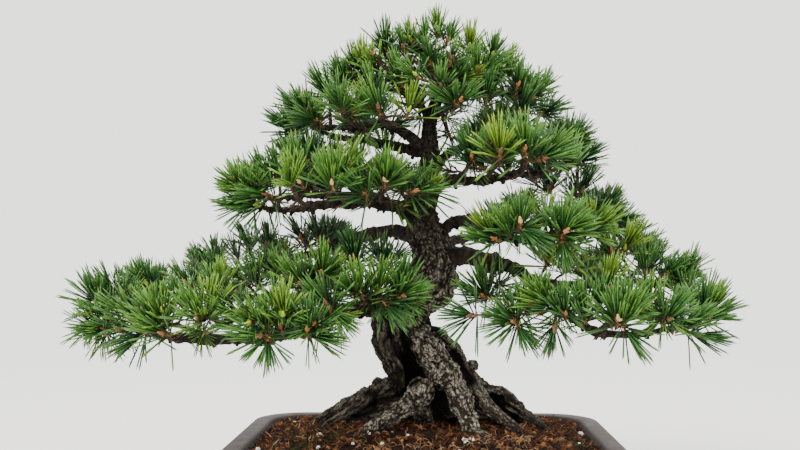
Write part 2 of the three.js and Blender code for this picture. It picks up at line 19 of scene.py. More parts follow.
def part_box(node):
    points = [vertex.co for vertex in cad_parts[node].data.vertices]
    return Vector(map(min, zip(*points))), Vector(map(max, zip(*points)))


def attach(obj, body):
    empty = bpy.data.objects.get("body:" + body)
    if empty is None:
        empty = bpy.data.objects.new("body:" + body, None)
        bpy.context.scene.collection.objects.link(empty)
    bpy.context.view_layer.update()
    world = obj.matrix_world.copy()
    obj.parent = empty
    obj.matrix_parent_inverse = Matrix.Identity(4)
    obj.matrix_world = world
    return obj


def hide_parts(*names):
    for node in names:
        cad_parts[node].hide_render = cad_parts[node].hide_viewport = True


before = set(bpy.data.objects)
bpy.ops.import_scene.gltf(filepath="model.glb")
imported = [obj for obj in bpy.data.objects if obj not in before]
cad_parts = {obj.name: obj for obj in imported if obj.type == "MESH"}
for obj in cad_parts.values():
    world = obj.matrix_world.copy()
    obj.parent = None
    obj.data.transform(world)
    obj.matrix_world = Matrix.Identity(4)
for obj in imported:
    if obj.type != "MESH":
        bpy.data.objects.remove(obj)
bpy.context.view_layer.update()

# %% [markdown]
# ## The camera
#
# The camera comes first, so that each later cell can be judged through it. It stands 1.1 m in front of
# the trunk, a little to the right of the pot's middle and level with the lower limbs, and looks up by
# two degrees. Its 45 mm lens on a 36 mm sensor gives 1000 pixels of focal length in a frame of 800.

# %% Camera
CAMERA_PLACE = (0.0296, -1.0947, 0.283)
CAMERA_PITCH, CAMERA_YAW = 2.12, 1.86
PHOTO_MIDDLE = (400, 225)
FOCAL_PIXELS = 1000

bpy.ops.object.select_all(action="DESELECT")
bpy.ops.object.camera_add(
    location=CAMERA_PLACE,
    rotation=(math.radians(90 + CAMERA_PITCH), 0, math.radians(CAMERA_YAW)),
)
camera = bpy.context.object
camera.data.lens = 45
camera.data.sensor_width = 36
camera.data.clip_start = 0.05
camera.data.clip_end = 60
bpy.context.scene.camera = camera
print("camera:", camera.data.lens, "mm lens")

# %% [markdown]
# ## Working on a mesh by hand
#
# Operators act on all that is selected, so each step first picks one object. Faces are chosen in code by
# where they are, and the next operator then works on them alone.

# %% Picking objects and faces
MM = 0.001
FULL_TURN = 6.283


def pick(*objects):
    """Only these objects are selected, and the first one is active."""
    bpy.ops.object.select_all(action="DESELECT")
    for piece in objects:
        piece.select_set(True)
    bpy.context.view_layer.objects.active = objects[0]


def select_faces(piece, wanted):
    """Opens edit mode with only the faces selected for which wanted(face) is true."""
    pick(piece)
    bpy.ops.object.mode_set(mode="EDIT")
    bpy.ops.mesh.select_mode(type="FACE")
    bpy.ops.mesh.select_all(action="DESELECT")
    bpy.ops.object.mode_set(mode="OBJECT")
    for face in piece.data.polygons:
        face.select = bool(wanted(face))
    bpy.ops.object.mode_set(mode="EDIT")


def leave_edit():
    bpy.ops.object.mode_set(mode="OBJECT")


def apply_modifier(piece, kind, **settings):
    """Adds a modifier with these settings and applies it."""
    pick(piece)
    bpy.ops.object.modifier_add(type=kind)
    modifier = piece.modifiers[-1]
    for key, value in settings.items():
        setattr(modifier, key, value)
    bpy.ops.object.modifier_apply(modifier=modifier.name)


def settle(piece):
    """The object goes to the origin, unturned and unscaled, and its place into its mesh."""
    pick(piece)
    bpy.ops.object.transform_apply(location=True, rotation=True, scale=True)


def discard(*objects):
    for piece in objects:
        bpy.data.objects.remove(piece, do_unlink=True)


# %% [markdown]
# ## Shapes that are copied by the hundred
#
# A needle, a crumb or a bud is modelled once as an object. Its corners and faces are then read into
# arrays, and every copy is those arrays moved by a matrix of its own. All the copies of one spray end in
# one mesh, which is much quicker than joining thousands of objects, and gives each copy its own mesh.

# %% Shapes as arrays
class Shape:
    """Corners, three-cornered faces, a number per face for its material, and values per corner."""

    def __init__(self, corners, faces, material=0, **values):
        self.corners = np.asarray(corners, float)
        self.faces = np.asarray(faces, int)
        self.material = np.broadcast_to(material, len(self.faces)).copy()
        self.values = {key: np.broadcast_to(np.asarray(value, float), len(self.corners)).copy()
                       for key, value in values.items()}


def read_shape(piece, material=0, **values):
    """An object's mesh as a Shape, cut into triangles."""
    mesh = piece.data
    mesh.calc_loop_triangles()
    corners = np.zeros(len(mesh.vertices) * 3)
    mesh.vertices.foreach_get("co", corners)
    faces = np.zeros(len(mesh.loop_triangles) * 3, int)
    mesh.loop_triangles.foreach_get("vertices", faces)
    return Shape(corners.reshape(-1, 3), faces.reshape(-1, 3), material, **values)


def moved(shape, matrix, **values):
    """A copy of a shape, turned and moved by a 3 x 4 matrix, with some of its values changed."""
    corners = shape.corners @ matrix[:, :3].T + matrix[:, 3]
    return Shape(corners, shape.faces, shape.material, **{**shape.values, **values})


def gathered(shapes):
    """Many shapes as one."""
    starts = np.cumsum([0] + [len(shape.corners) for shape in shapes])
    keys = set().union(*(shape.values for shape in shapes))
    values = {key: np.concatenate([shape.values.get(key, np.zeros(len(shape.corners)))
                                   for shape in shapes]) for key in keys}
    return Shape(
        np.vstack([shape.corners for shape in shapes]),
        np.vstack([shape.faces + start for shape, start in zip(shapes, starts)]),
        np.concatenate([shape.material for shape in shapes]),
        **values,
    )


def write_values(mesh, values):
    """Writes each named array to the mesh, as a number or a vector for each corner point."""
    for key, value in values.items():
        value = np.asarray(value, np.float32)
        kind, field = ("FLOAT", "value") if value.ndim == 1 else ("FLOAT_VECTOR", "vector")
        layer = mesh.attributes.get(key) or mesh.attributes.new(key, kind, "POINT")
        layer.data.foreach_set(field, value.ravel())


def build(name, shape):
    """A smooth-shaded object of a shape. Its materials are added later."""
    mesh = bpy.data.meshes.new(name)
    mesh.from_pydata(shape.corners.tolist(), [], shape.faces.tolist())
    mesh.polygons.foreach_set("material_index", shape.material.astype(np.int32))
    mesh.polygons.foreach_set("use_smooth", np.ones(len(shape.faces), bool))
    write_values(mesh, shape.values)
    mesh.update()
    piece = bpy.data.objects.new(name, mesh)
    bpy.context.scene.collection.objects.link(piece)
    return piece


def aimed(axis, spin, scale, place):
    """The matrix that turns +Z to axis, after a spin about +Z, and moves it to a place."""
    axis = np.asarray(axis, float) / np.linalg.norm(axis)
    helper = np.array([0.0, 0, 1]) if abs(axis[2]) < 0.9 else np.array([1.0, 0, 0])
    side = np.cross(helper, axis)
    side /= np.linalg.norm(side)
    other = np.cross(axis, side)
    c, s = math.cos(spin), math.sin(spin)
    turn = np.stack([side * c + other * s, other * c - side * s, axis], axis=1)
    return np.hstack([turn * scale, np.asarray(place, float).reshape(3, 1)])


# %% [markdown]
# ## Materials as sums
#
# A material is a graph of nodes, but much of it is plain arithmetic on masks. The class below wraps one
# output, so that `1 - cracks * 0.4` adds the two Math nodes that it says. Colours are mixed, because a
# Math node would turn a colour grey.

# %% Sockets with arithmetic
class Socket:
    """One output of a material's nodes."""

    def __init__(self, finish, output):
        self.finish, self.output = finish, output

    def math(self, operation, first, second):
        return self.finish.node("ShaderNodeMath", {"operation": operation}, {0: first, 1: second})

    def __add__(self, other):
        return self.math("ADD", self, other)

    def __radd__(self, other):
        return self.math("ADD", other, self)

    def __sub__(self, other):
        return self.math("SUBTRACT", self, other)

    def __rsub__(self, other):
        return self.math("SUBTRACT", other, self)

    def __mul__(self, other):
        return self.math("MULTIPLY", self, other)


class Finish:
    """A material that is put together from nodes."""

    def __init__(self, name):
        self.material = bpy.data.materials.new(name)
        self.material.use_nodes = True
        self.tree = self.material.node_tree
        self.tree.nodes.clear()

    def node(self, kind, settings=None, inputs=None, output=0):
        """A node with its settings made first, then its inputs set or linked. Gives one output."""
        made = self.tree.nodes.new(kind)
        settings = dict(settings or {})
        stops = settings.pop("stops", None)
        for key, value in settings.items():
            setattr(made, key, value)
        if stops:
            for _ in stops[2:]:
                made.color_ramp.elements.new(0.5)
            for element, (place, colour) in zip(made.color_ramp.elements, stops):
                element.position = place
                element.color = (*colour, 1)
        for key, value in (inputs or {}).items():
            if isinstance(value, Socket):
                self.tree.links.new(value.output, made.inputs[key])
            else:
                made.inputs[key].default_value = value
        return Socket(self, made.outputs[output])

    def places(self):
        """Object coordinates, in metres."""
        return self.node("ShaderNodeTexCoord", output="Object")

    def value(self, name, output="Fac"):
        """A value that the mesh holds for each of its corner points."""
        return self.node("ShaderNodeAttribute", {"attribute_name": name}, output=output)

    def noise(self, size, detail=3.0, roughness=0.55, places=None):
        """Soft noise from 0 to 1 with lumps of about this size in metres."""
        return self.node("ShaderNodeTexNoise", {"noise_dimensions": "3D"}, {
            "Vector": places or self.places(), "Scale": 1 / size, "Detail": detail,
            "Roughness": roughness,
        }, "Fac")

    def cells(self, size, feature="F1", places=None):
        """Cells of about this size: how far a place is from a cell's middle or edge."""
        return self.node("ShaderNodeTexVoronoi", {"feature": feature}, {
            "Vector": places or self.places(), "Scale": 1 / size,
        }, "Distance")

    def between(self, value, low, high):
        """Value as a share from 0 at low to 1 at high."""
        return self.node("ShaderNodeMapRange", {"interpolation_type": "SMOOTHSTEP"}, {
            "Value": value, "From Min": low, "From Max": high,
        })

    def mix(self, share, first, second, how="MIX"):
        """One colour over another."""
        colours = [c if isinstance(c, Socket) else (*c, 1) for c in (first, second)]
        return self.node("ShaderNodeMix", {"data_type": "RGBA", "blend_type": how}, {
            0: share, 6: colours[0], 7: colours[1],
        }, 2)

    def bump(self, height, depth, under=None):
        """A surface with its height drawn into its normals. depth is in metres."""
        inputs = {"Height": height, "Strength": 1.0, "Distance": depth}
        if under:
            inputs["Normal"] = under
        return self.node("ShaderNodeBump", inputs=inputs, output="Normal")

    def surface(self, colour, roughness, normal=None, **settings):
        """Ends the graph in a Principled surface, and gives the material."""
        inputs = {"Base Color": colour if isinstance(colour, Socket) else (*colour, 1),
                  "Roughness": roughness}
        if normal:
            inputs["Normal"] = normal
        inputs.update({key.replace("_", " "): value for key, value in settings.items()})
        shader = self.node("ShaderNodeBsdfPrincipled", inputs=inputs, output="BSDF")
        end = self.tree.nodes.new("ShaderNodeOutputMaterial")
        self.tree.links.new(shader.output, end.inputs["Surface"])
        return self.material


# %% [markdown]
# ## The lines that the tree follows
#
# The trunk is a bundle: one thick core, and strands that run down its sides and become the surface
# roots. Each line is a list of points with a radius, in millimetres from the middle of the pot. They are
# the same lines that the CAD model follows, so that the fine wood lies where the solid wood is.

# %% Lines of the trunk and roots
TRUNK_CORE = [
    (18, 12, 66, 42), (18, 12, 104, 39), (14, 13, 129, 35), (6, 13, 155, 31), (-6, 10, 182, 29),
    (-18, 4, 208, 28), (-20, 0, 228, 29), (-9, 0, 245, 28), (4, 0, 262, 26.5), (10, 0, 281, 25),
    (7, 2, 301, 22.5), (0, 4, 318, 19.9), (-3, 4, 340, 17), (3, 4, 363, 14.2), (6, 2, 385, 12.4),
    (6, 0, 406, 10.8), (5, 0, 423, 9.2), (8, 2, 449, 6.6), (14, 4, 470, 5.2), (15, 3, 484, 4.6),
]
STRANDS = [
    [(-25, -8, 244, 14), (-41, -8, 222, 15), (-43, -8, 198, 14), (-35, -6, 176, 13),
     (-28, -2, 157, 12), (-40, 8, 144, 11), (-59, 16, 136, 10), (-78, 22, 127, 9),
     (-98, 26, 117, 7.6), (-118, 28, 104, 6.2), (-138, 30, 86, 4.4)],
    [(-16, -12, 244, 15), (-13, -18, 218, 14.5), (0, -26, 194, 14.5), (15, -32, 177, 15.5),
     (27, -37, 160, 14.5), (36, -42, 143, 12.7), (42, -48, 129, 10.8), (48, -54, 113, 9.6),
     (54, -61, 101, 8.6), (60, -71, 101, 8), (65, -81, 95, 7), (69, -90, 85, 5)],
    [(-4, -2, 239, 14), (-2, 0, 214, 12), (17, -2, 194, 12.5), (34, -4, 174, 12.5),
     (49, -8, 155, 11), (60, -22, 138, 8.4), (72, -34, 125, 7), (86, -42, 115, 6),
     (99, -48, 104, 5.2), (112, -54, 86, 4.2)],
    [(36, 6, 168, 12), (52, 8, 151, 10.5), (70, 10, 141, 8), (85, 10, 138, 7),
     (98, 10, 127, 6.6), (107, 8, 111, 6.4), (117, 6, 95, 5.8), (126, 4, 78, 4.4)],
    [(4, -16, 145, 11), (-4, -34, 143, 13.5), (-14, -44, 134, 11), (-27, -51, 127, 9.6),
     (-43, -58, 118, 8.4), (-57, -64, 109, 7.2), (-71, -68, 98, 6), (-84, -71, 82, 4.4)],
    [(-10, 18, 200, 16), (-16, 30, 168, 15), (-28, 42, 142, 12.5), (-46, 60, 124, 9.5),
     (-64, 78, 107, 7), (-78, 92, 86, 4.5)],
    [(10, 18, 190, 15), (24, 32, 160, 14), (34, 48, 136, 12), (42, 68, 118, 9), (50, 90, 102, 6.5),
     (56, 106, 84, 4.5)],
    [(26, 20, 156, 14), (50, 34, 134, 10.5), (74, 46, 117, 8), (96, 56, 101, 6), (112, 66, 83, 4)],
]
# Round swellings of the core, each a place and a radius
KNOTS = [(15, -7, 257, 14), (-26, 8, 262, 11)]
# Thin roots that fork off the strands and run into the mulch
SIDE_ROOTS = [
    [(-52, 12, 140, 5), (-66, 2, 129, 4.6), (-84, -6, 119, 4), (-104, -10, 108, 3.4), (-122, -12, 94, 2.6)],
    [(84, 8, 130, 5), (100, -6, 122, 4.6), (118, -14, 112, 4), (134, -16, 100, 3.2), (146, -16, 86, 2.4)],
    [(64, 10, 138, 5), (86, 24, 128, 4.8), (108, 30, 118, 4.4), (126, 32, 106, 3.6), (140, 32, 90, 2.6)],
    [(-60, 20, 132, 5), (-82, 38, 121, 4.6), (-102, 48, 110, 3.8), (-116, 54, 92, 2.8)],
    [(-20, 36, 150, 5), (-10, 62, 128, 5), (-4, 84, 112, 4), (2, 100, 92, 2.8)],
]
print("strands:", len(STRANDS), "side roots:", len(SIDE_ROOTS))

# %% [markdown]
# The limbs follow their own lines, each from the trunk to its last spray. A spray is a side branch: the
# place along the limb where its rib starts, the point where the rib ends, and how far the rib arches.

# %% Lines of the limbs and their sprays
LIMBS = {
    "left_low_front": (
        [(0, 0, 250), (-43, -30, 239), (-79, -60, 232), (-125, -95, 215), (-172, -110, 208),
         (-222, -112, 206), (-269, -104, 211), (-302, -97, 218)], (13, 2.6),
        [(0.1, -22, -80, 247, 8), (0.19, -60, -125, 249, 6), (0.31, -100, -165, 225, 12),
         (0.45, -145, -180, 218, 16), (0.58, -204, -175, 233, 2), (0.73, -258, -160, 218, 10),
         (0.82, -332, -45, 247, -8), (1, -329, -92, 222, 3)]),
    "left_low_mid": (
        [(-79, -60, 232), (-121, -45, 244), (-175, -25, 245), (-235, -8, 244), (-286, 5, 247)],
        (6, 2.4), [(0.28, -101, -85, 271, -8), (0.6, -234, 45, 276, -8), (1, -319, 20, 258, -4)]),
    "left_low_back": (
        [(-5, 5, 307), (-33, 25, 318), (-69, 50, 313), (-107, 85, 300), (-164, 105, 287),
         (-219, 108, 276), (-251, 104, 271)], (9.5, 2.4),
        [(0.27, -37, 150, 271, 6), (0.47, -113, 145, 307, -6), (0.68, -195, 150, 292, -8),
         (1, -274, 100, 277, -2)]),
    "left_mid_front": (
        [(-1, 0, 327), (-22, -10, 341), (-59, -25, 347), (-100, -45, 345), (-141, -55, 338),
         (-166, -55, 339)], (10, 2.6),
        [(0.14, -8, -75, 353, 4), (0.3, -37, -80, 371, -4), (0.5, -89, -105, 373, -8),
         (0.74, -132, -115, 370, -6), (1, -190, -60, 347, 3)]),
    "left_mid_back": (
        [(-43, -15, 348), (-84, 15, 357), (-132, 40, 359), (-176, 50, 357)], (6, 2.4),
        [(0.05, -28, 115, 378, 2), (0.6, -138, 115, 383, -4), (1, -205, 50, 370, -4)]),
    "left_high_front": (
        [(4, 0, 406), (-16, -5, 421), (-43, -15, 433), (-75, -30, 428), (-106, -35, 427)],
        (7.5, 2.4), [(0.38, -47, -80, 439, -4), (0.66, -85, -95, 444, -6), (1, -131, -38, 432, 1)]),
    "left_high_back": (
        [(4, 0, 401), (-28, 20, 412), (-63, 45, 422), (-105, 62, 430), (-122, 64, 437)], (7, 2.4),
        [(0.5, -90, 115, 471, -4), (1, -144, 62, 454, -4)]),
    "right_high_front": (
        [(4, 4, 363), (28, -10, 372), (60, -30, 370), (90, -45, 374), (127, -48, 377)], (8, 2.6),
        [(0.25, 48, -70, 390, 0), (0.52, 73, -115, 385, 2), (0.76, 101, -110, 394, -8),
         (1, 153, -52, 393, -2)]),
    "right_high_back": (
        [(6, 6, 385), (35, 50, 412), (77, 90, 428), (133, 110, 431), (158, 108, 428)], (6.5, 2.4),
        [(0.5, 92, 130, 460, -4), (1, 181, 105, 422, 2)]),
    "right_mid_front": (
        [(6, 2, 309), (37, -5, 327), (62, -25, 322), (90, -50, 308), (127, -70, 306),
         (152, -72, 311)], (8.5, 2.6),
        [(0.3, 73, -100, 309, 6), (0.55, 92, -130, 318, 0), (0.76, 130, -130, 312, 2),
         (1, 174, -72, 324, -4)]),
    "right_mid_back": (
        [(4, 6, 302), (35, 60, 308), (90, 110, 322), (153, 130, 332), (198, 124, 339)], (7.5, 2.4),
        [(0.5, 125, 175, 352, -4), (1, 224, 120, 346, -4)]),
    "right_low_back": (
        [(10, 0, 283), (37, -5, 290), (67, -15, 284), (94, -20, 277), (117, -25, 263),
         (163, -10, 257), (214, 4, 261), (257, 4, 261)], (13, 2.6),
        [(0.26, 64, -65, 247, 10), (0.64, 203, 85, 276, -4), (0.84, 250, 60, 299, -8),
         (1, 285, 0, 260, -2)]),
    "right_low_front": (
        [(117, -25, 263), (136, -60, 241), (170, -92, 214), (213, -102, 212), (254, -96, 220)],
        (6.5, 2.6),
        [(0.06, 90, -115, 227, 14), (0.24, 126, -145, 233, 12), (0.55, 180, -175, 231, 8),
         (0.8, 224, -160, 233, 4), (1, 280, -88, 232, -3)]),
    "crown_left": (
        [(12, 3, 438), (-10, -8, 461), (-29, -20, 474), (-38, -26, 480)], (4.6, 2.4),
        [(0.6, -78, -25, 487, -4), (1, -36, -50, 499, -6)]),
    "crown_right": (
        [(12, 3, 445), (41, -8, 463), (74, -10, 469), (97, 0, 466)], (4.6, 2.4),
        [(0.6, 83, -35, 488, -6), (1, 120, 15, 466, 0)]),
    "crown_back": (
        [(15, 4, 458), (22, 40, 478), (38, 66, 486), (54, 76, 488)], (4.2, 2.4),
        [(0.6, 28, 105, 505, -2), (1, 80, 85, 495, 0)]),
    "crown_top": (
        [(15, 3, 470), (15, 1, 482), (14, -3, 492)], (4.2, 2.6),
        [(0.1, 17, -80, 463, 2), (1, 4, -14, 512, 2)]),
}
pot_low, pot_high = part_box("pot")
POT_MIDDLE = np.array([(pot_low.x + pot_high.x) / 2, (pot_low.y + pot_high.y) / 2, 0])


def metres(places):
    """Places in millimetres from the pot's middle, as places in the frame in metres."""
    return np.asarray(places, float)[..., :3] * MM + POT_MIDDLE


print("limbs:", len(LIMBS), "sprays:", sum(len(sprays) for _, _, sprays in LIMBS.values()))

# %% [markdown]
# A smooth line goes through all of its points. The centripetal form of the Catmull-Rom curve is used,
# because it doesn't loop or swing wide where two points are close together.

# %% Smooth lines
def through(points, samples=24):
    """A smooth line through points: rows of x, y, z and of what else each point holds."""
    p = np.array(points, float)
    p = np.vstack([2 * p[0] - p[1], p, 2 * p[-1] - p[-2]])
    u = (np.arange(samples) / samples).reshape(-1, 1)
    rows = []
    for a, b, c, d in zip(p, p[1:], p[2:], p[3:]):
        before, here, after = (math.sqrt(np.linalg.norm((y - x)[:3])) for x, y in ((a, b), (b, c), (c, d)))
        leave = ((b - a) / before - (c - a) / (before + here) + (c - b) / here) * here
        arrive = ((c - b) / here - (d - b) / (here + after) + (d - c) / after) * here
        row = (b + leave * u + (3 * c - 3 * b - 2 * leave - arrive) * u ** 2
               + (2 * b - 2 * c + leave + arrive) * u ** 3)
        row[:, 3:] = (b + (c - b) * u)[:, 3:]
        rows.append(row)
    return np.vstack([*rows, p[-2:-1]])


def lengths(line):
    """How far along the line each of its rows is."""
    return np.concatenate([[0], np.cumsum(np.linalg.norm(np.diff(line[:, :3], axis=0), axis=1))])


def evenly(line, step):
    """The line with rows at about this step."""
    along = lengths(line)
    wanted = np.linspace(0, along[-1], max(2, round(along[-1] / step)) + 1)
    return np.stack([np.interp(wanted, along, column) for column in line.T], axis=1)


def at_share(line, share):
    """The point at a share of the line's length, and its direction there."""
    along = lengths(line)
    place, near = (np.array([np.interp(x * along[-1], along, c) for c in line[:, :3].T])
                   for x in (share, share + (0.001 if share < 0.999 else -0.001)))
    ahead = (near - place) * (1 if share < 0.999 else -1)
    return place, ahead / np.linalg.norm(ahead)


def unit(vector):
    return vector / np.linalg.norm(vector)


# %% [markdown]
# ## Wood as tubes
#
# A curve with a round bevel and a radius at each point is the quickest way to draw wood. All the strands
# are splines of one curve. Turned into a mesh, they are closed tubes that run into each other, and a
# voxel remesh then melts them into one skin, which is what old wood looks like where roots have fused.

# %% Tubes from lines
def tubes(name, lines, resolution):
    """Lines of x, y, z and radius, in mm, as one mesh of closed tubes."""
    curve = bpy.data.curves.new(name, "CURVE")
    curve.dimensions = "3D"
    curve.bevel_depth = 1
    curve.bevel_resolution = resolution
    curve.use_fill_caps = True
    for line in lines:
        spline = curve.splines.new("POLY")
        spline.points.add(len(line) - 1)
        spline.points.foreach_set("co", np.hstack([metres(line), np.ones((len(line), 1))]).ravel())
        spline.points.foreach_set("radius", line[:, 3] * MM)
    piece = bpy.data.objects.new(name, curve)
    bpy.context.scene.collection.objects.link(piece)
    pick(piece)
    bpy.ops.object.convert(target="MESH")
    return bpy.context.object


def ease(value, low, high):
    """A share from 0 at low to 1 at high, with soft ends."""
    share = np.clip((value - low) / (high - low), 0, 1)
    return share * share * (3 - 2 * share)


# %% [markdown]
# ### Bark that follows the wood
#
# Bark plates lie along the strand that they grow on, round a root as well as up the trunk. So each point
# of the skin looks for the strand it belongs to, and gets its place along that strand and round it. These
# two, as a position in a straightened strand, are its grain. Cells in that space are the plates, and
# the gaps between them are the cracks, cut into the mesh. The same position goes to the material, which
# adds the cracks that are too fine for the mesh.

# %% Grain, plates and cracks
# The step of a line when points look for their nearest row, how many points look at a time, and how far
# the grain of one line is from that of the next, so that no two lines have the same plates
SEARCH_STEP = 3
BATCH = 8000
LINE_SPACING = 300
# Blender's vector noise starts from the clock, and so differs at each run, unless it is given a seed
noise.seed_set(5)


class Grain:
    """Where the points of a skin lie on the lines that it was made from."""

    def __init__(self, points, lines):
        count = len(points)
        self.gap = np.full(count, 1e9)
        self.second = np.full(count, 1e9)
        self.line = np.zeros(count, int)
        self.radius = np.ones(count)
        self.places = np.zeros((count, 3))
        for number, line in enumerate(lines):
            self.try_line(points, number, evenly(line, SEARCH_STEP))

    def try_line(self, points, number, line):
        centres, radii = line[:, :3], line[:, 3]
        ahead = np.gradient(centres, axis=0)
        ahead /= np.linalg.norm(ahead, axis=1, keepdims=True)
        across = [unit(np.cross(ahead[0], (0.31, 0.87, 0.17)))]
        for direction in ahead[1:]:
            across.append(unit(across[-1] - across[-1] @ direction * direction))
        across = np.array(across)
        along = lengths(line)
        for start in range(0, len(points), BATCH):
            part = slice(start, start + BATCH)
            here = points[part]
            far = np.sqrt(((here[:, None] - centres[None]) ** 2).sum(2)) - radii
            row = far.argmin(1)
            gap = far[np.arange(len(here)), row]
            off = here - centres[row]
            x = (off * across[row]).sum(1)
            y = (off * np.cross(ahead[row], across[row])).sum(1)
            z = along[row] + (off * ahead[row]).sum(1)
            nearer = gap < self.gap[part]
            self.second[part] = np.where(nearer, self.gap[part], np.minimum(self.second[part], gap))
            round_it = np.maximum(np.hypot(x, y), 1e-6)
            straight = np.stack([x / round_it * radii[row], y / round_it * radii[row],
                                 z + LINE_SPACING * number], axis=1)
            self.places[part] = np.where(nearer[:, None], straight, self.places[part])
            self.radius[part] = np.where(nearer, radii[row], self.radius[part])
            self.line[part] = np.where(nearer, number, self.line[part])
            self.gap[part] = np.where(nearer, gap, self.gap[part])


def plates(places, width, stretch):
    """For each place in the grain: 0 in a crack to 1 on a plate, how domed the plate is there, and a
    number for its plate. stretch may differ from place to place."""
    scaled = places / width
    scaled[:, 2] /= stretch
    crack = np.zeros(len(places))
    number = np.zeros(len(places))
    for i, place in enumerate(scaled):
        far, cells = noise.voronoi(place)
        crack[i] = far[1] - far[0]
        number[i] = (cells[0].x * 12.99 + cells[0].y * 78.23 + cells[0].z * 37.72) % 1
    return ease(crack, 0.0, 0.13), ease(crack, 0.0, 0.4), number


def lumps(places, size, detail=3):
    """Smooth noise about 0 at each place."""
    return np.array([noise.fractal(place, 0.9, 2.0, detail) for place in places / size])


def skin_points(piece):
    points = np.zeros(len(piece.data.vertices) * 3)
    piece.data.vertices.foreach_get("co", points)
    normals = np.zeros(len(piece.data.vertices) * 3)
    piece.data.vertices.foreach_get("normal", normals)
    return points.reshape(-1, 3), normals.reshape(-1, 3)


# %% [markdown]
# ### The trunk and its roots
#
# The core is fluted as it rises, and balls swell it where it has knots and burls. An old root isn't even
# in thickness, so the radius of each one goes up and down. All of it is melted into one skin, and what
# lies deep in the soil is cut off.

# %% Trunk and roots
STUMP_VOXEL = 1.38
# The height at which the roots are cut off in the soil
BURIED = 90
# How much old roots swell and narrow, and at what distance
KNOBBLY_SHARE, KNOBBLY_SIZE = 0.3, 15
# Swellings, each a place and a radius: the round end of the front root, the burl above it, and the
# knobs along the outline
BURLS = [(-4, -46, 147, 14.5), (19, -36, 161, 14), (-52, 8, 147, 8), (-65, 10, 138, 8), (-80, 16, 128, 7.5),
         (-43, 0, 182, 9), (-50, -2, 214, 8), (32, 0, 188, 8), (50, 2, 170, 8), (81, 8, 140, 7),
         (103, 6, 124, 7), (17, -8, 248, 14), (26, -3, 263, 12)]
# Dark root wood that fills the space under the arches of the roots
UNDER_ROOTS = [[(-98, 30, 90, 12), (-72, 26, 108, 17), (-44, 22, 119, 21), (0, 22, 118, 28),
                (42, 22, 118, 25), (76, 20, 112, 20), (100, 18, 100, 14)],
               [(2, -6, 206, 13), (8, -10, 182, 17), (16, -13, 160, 19), (24, -15, 140, 19),
                (30, -18, 116, 18)]]

core = through(TRUNK_CORE)
strands = [through(points) for points in STRANDS]
side_roots = [through(points) for points in SIDE_ROOTS + UNDER_ROOTS]
stump_lines = [core, *strands, *side_roots]


def knobbly(line, seed):
    """The line with a radius that swells and narrows, as old roots do."""
    line = evenly(line, 4)
    swell = [noise.noise((distance / KNOBBLY_SIZE, seed * 7.3, 0)) for distance in lengths(line)]
    line[:, 3] *= 1 + KNOBBLY_SHARE * np.array(swell)
    return line


stump = tubes("wood_trunk_and_roots", [evenly(core, 5)] + [
    knobbly(line, seed) for seed, line in enumerate(stump_lines[1:])], 4)
for x, y, z, radius in KNOTS + BURLS:
    bpy.ops.mesh.primitive_ico_sphere_add(
        subdivisions=3, radius=radius * MM, location=metres((x, y, z)))
    knot = bpy.context.object
    settle(knot)
    pick(stump, knot)
    bpy.ops.object.join()
apply_modifier(stump, "REMESH", mode="VOXEL", voxel_size=STUMP_VOXEL * MM)
apply_modifier(stump, "SMOOTH", factor=0.5, iterations=4)
# What lies deep in the soil is cut off
pick(stump)
bpy.ops.object.mode_set(mode="EDIT")
bpy.ops.mesh.select_all(action="SELECT")
bpy.ops.mesh.bisect(plane_co=(0, 0, BURIED * MM), plane_no=(0, 0, 1), use_fill=True, clear_inner=True)
leave_edit()
print("skin of the trunk:", len(stump.data.vertices), "points")

# %% [markdown]
# Each point of the skin gets its grain. Between the left strand and the middle one the photo shows a deep
# black hollow, so the skin is drawn in there, and less deeply at a few more places. To move the points
# is quicker here than to cut the skin with other shapes, and it leaves no sharp edge.

# %% Grain and hollows of the trunk
# Hollows between the strands, drawn in and painted black as shade, each a line from a point to a point, its
# width and its depth
HOLLOWS = [((-20, -20, 205), (-15, -24, 178), 5, 14), ((-15, -24, 180), (-12, -26, 160), 8, 26),
           ((13, -30, 143), (24, -40, 112), 8, 13), ((31, -20, 184), (50, -26, 152), 4, 11),
           ((-34, -18, 158), (-28, -26, 140), 4.5, 9), ((74, -5, 134), (96, -5, 118), 5, 12),
           ((-56, 4, 124), (-76, 2, 112), 4.5, 8)]


def off_segment(places, start, end):
    """How far each place is from a straight piece between two points, counting little of the depth."""
    flat = np.array([1, 0.22, 1])
    places, start, run = places * flat, start * flat, np.subtract(end, start) * flat
    share = np.clip((places - start) @ run / (run @ run), 0, 1)
    return np.linalg.norm(places - start - share[:, None] * run, axis=1)


points, normals = skin_points(stump)
local = (points - POT_MIDDLE) / MM
grain = Grain(local, stump_lines)
# The two large burls have no grain, so their plates are as wide as they are long
for *middle, radius in BURLS[:2]:
    on_burl = np.linalg.norm(local - middle, axis=1) < radius + 1.5
    grain.places[on_burl] = local[on_burl]
size = np.clip(grain.radius / 12, 0.3, 1)
front = ease(-normals[:, 1], -0.1, 0.5)
sink = np.zeros(len(local))
for start, end, width, depth in HOLLOWS:
    inside = 1 - ease(off_segment(local, start, end), 0.5 * width, 1.7 * width)
    sink = np.maximum(sink, depth * front * inside)
print("in the hollows:", int((sink > 1).sum()), "points")

# %% [markdown]
# The relief of old bark has three sizes. Long ridges follow the grain, with furrows between them where
# the wood twists. Plates break the ridges up, but not everywhere, and their edges wander, so the cells
# are first bent by a slow noise. The finest crust is left to noise in the mesh and to the material.

# %% Relief of the bark
# How pale and weathered each line's bark is, and how long its plates are for their width, the core first
PALENESS = [0.6, 0.3, 0.95, 0.42, 0.45, 0.9, 0.25, 0.25, 0.3]
PLATE_STRETCH = [1.15, 2.4, 1.3, 2.2, 2.2, 1.3, 2.2, 2.2, 2.2]
PLATE_WIDTH = 4.7
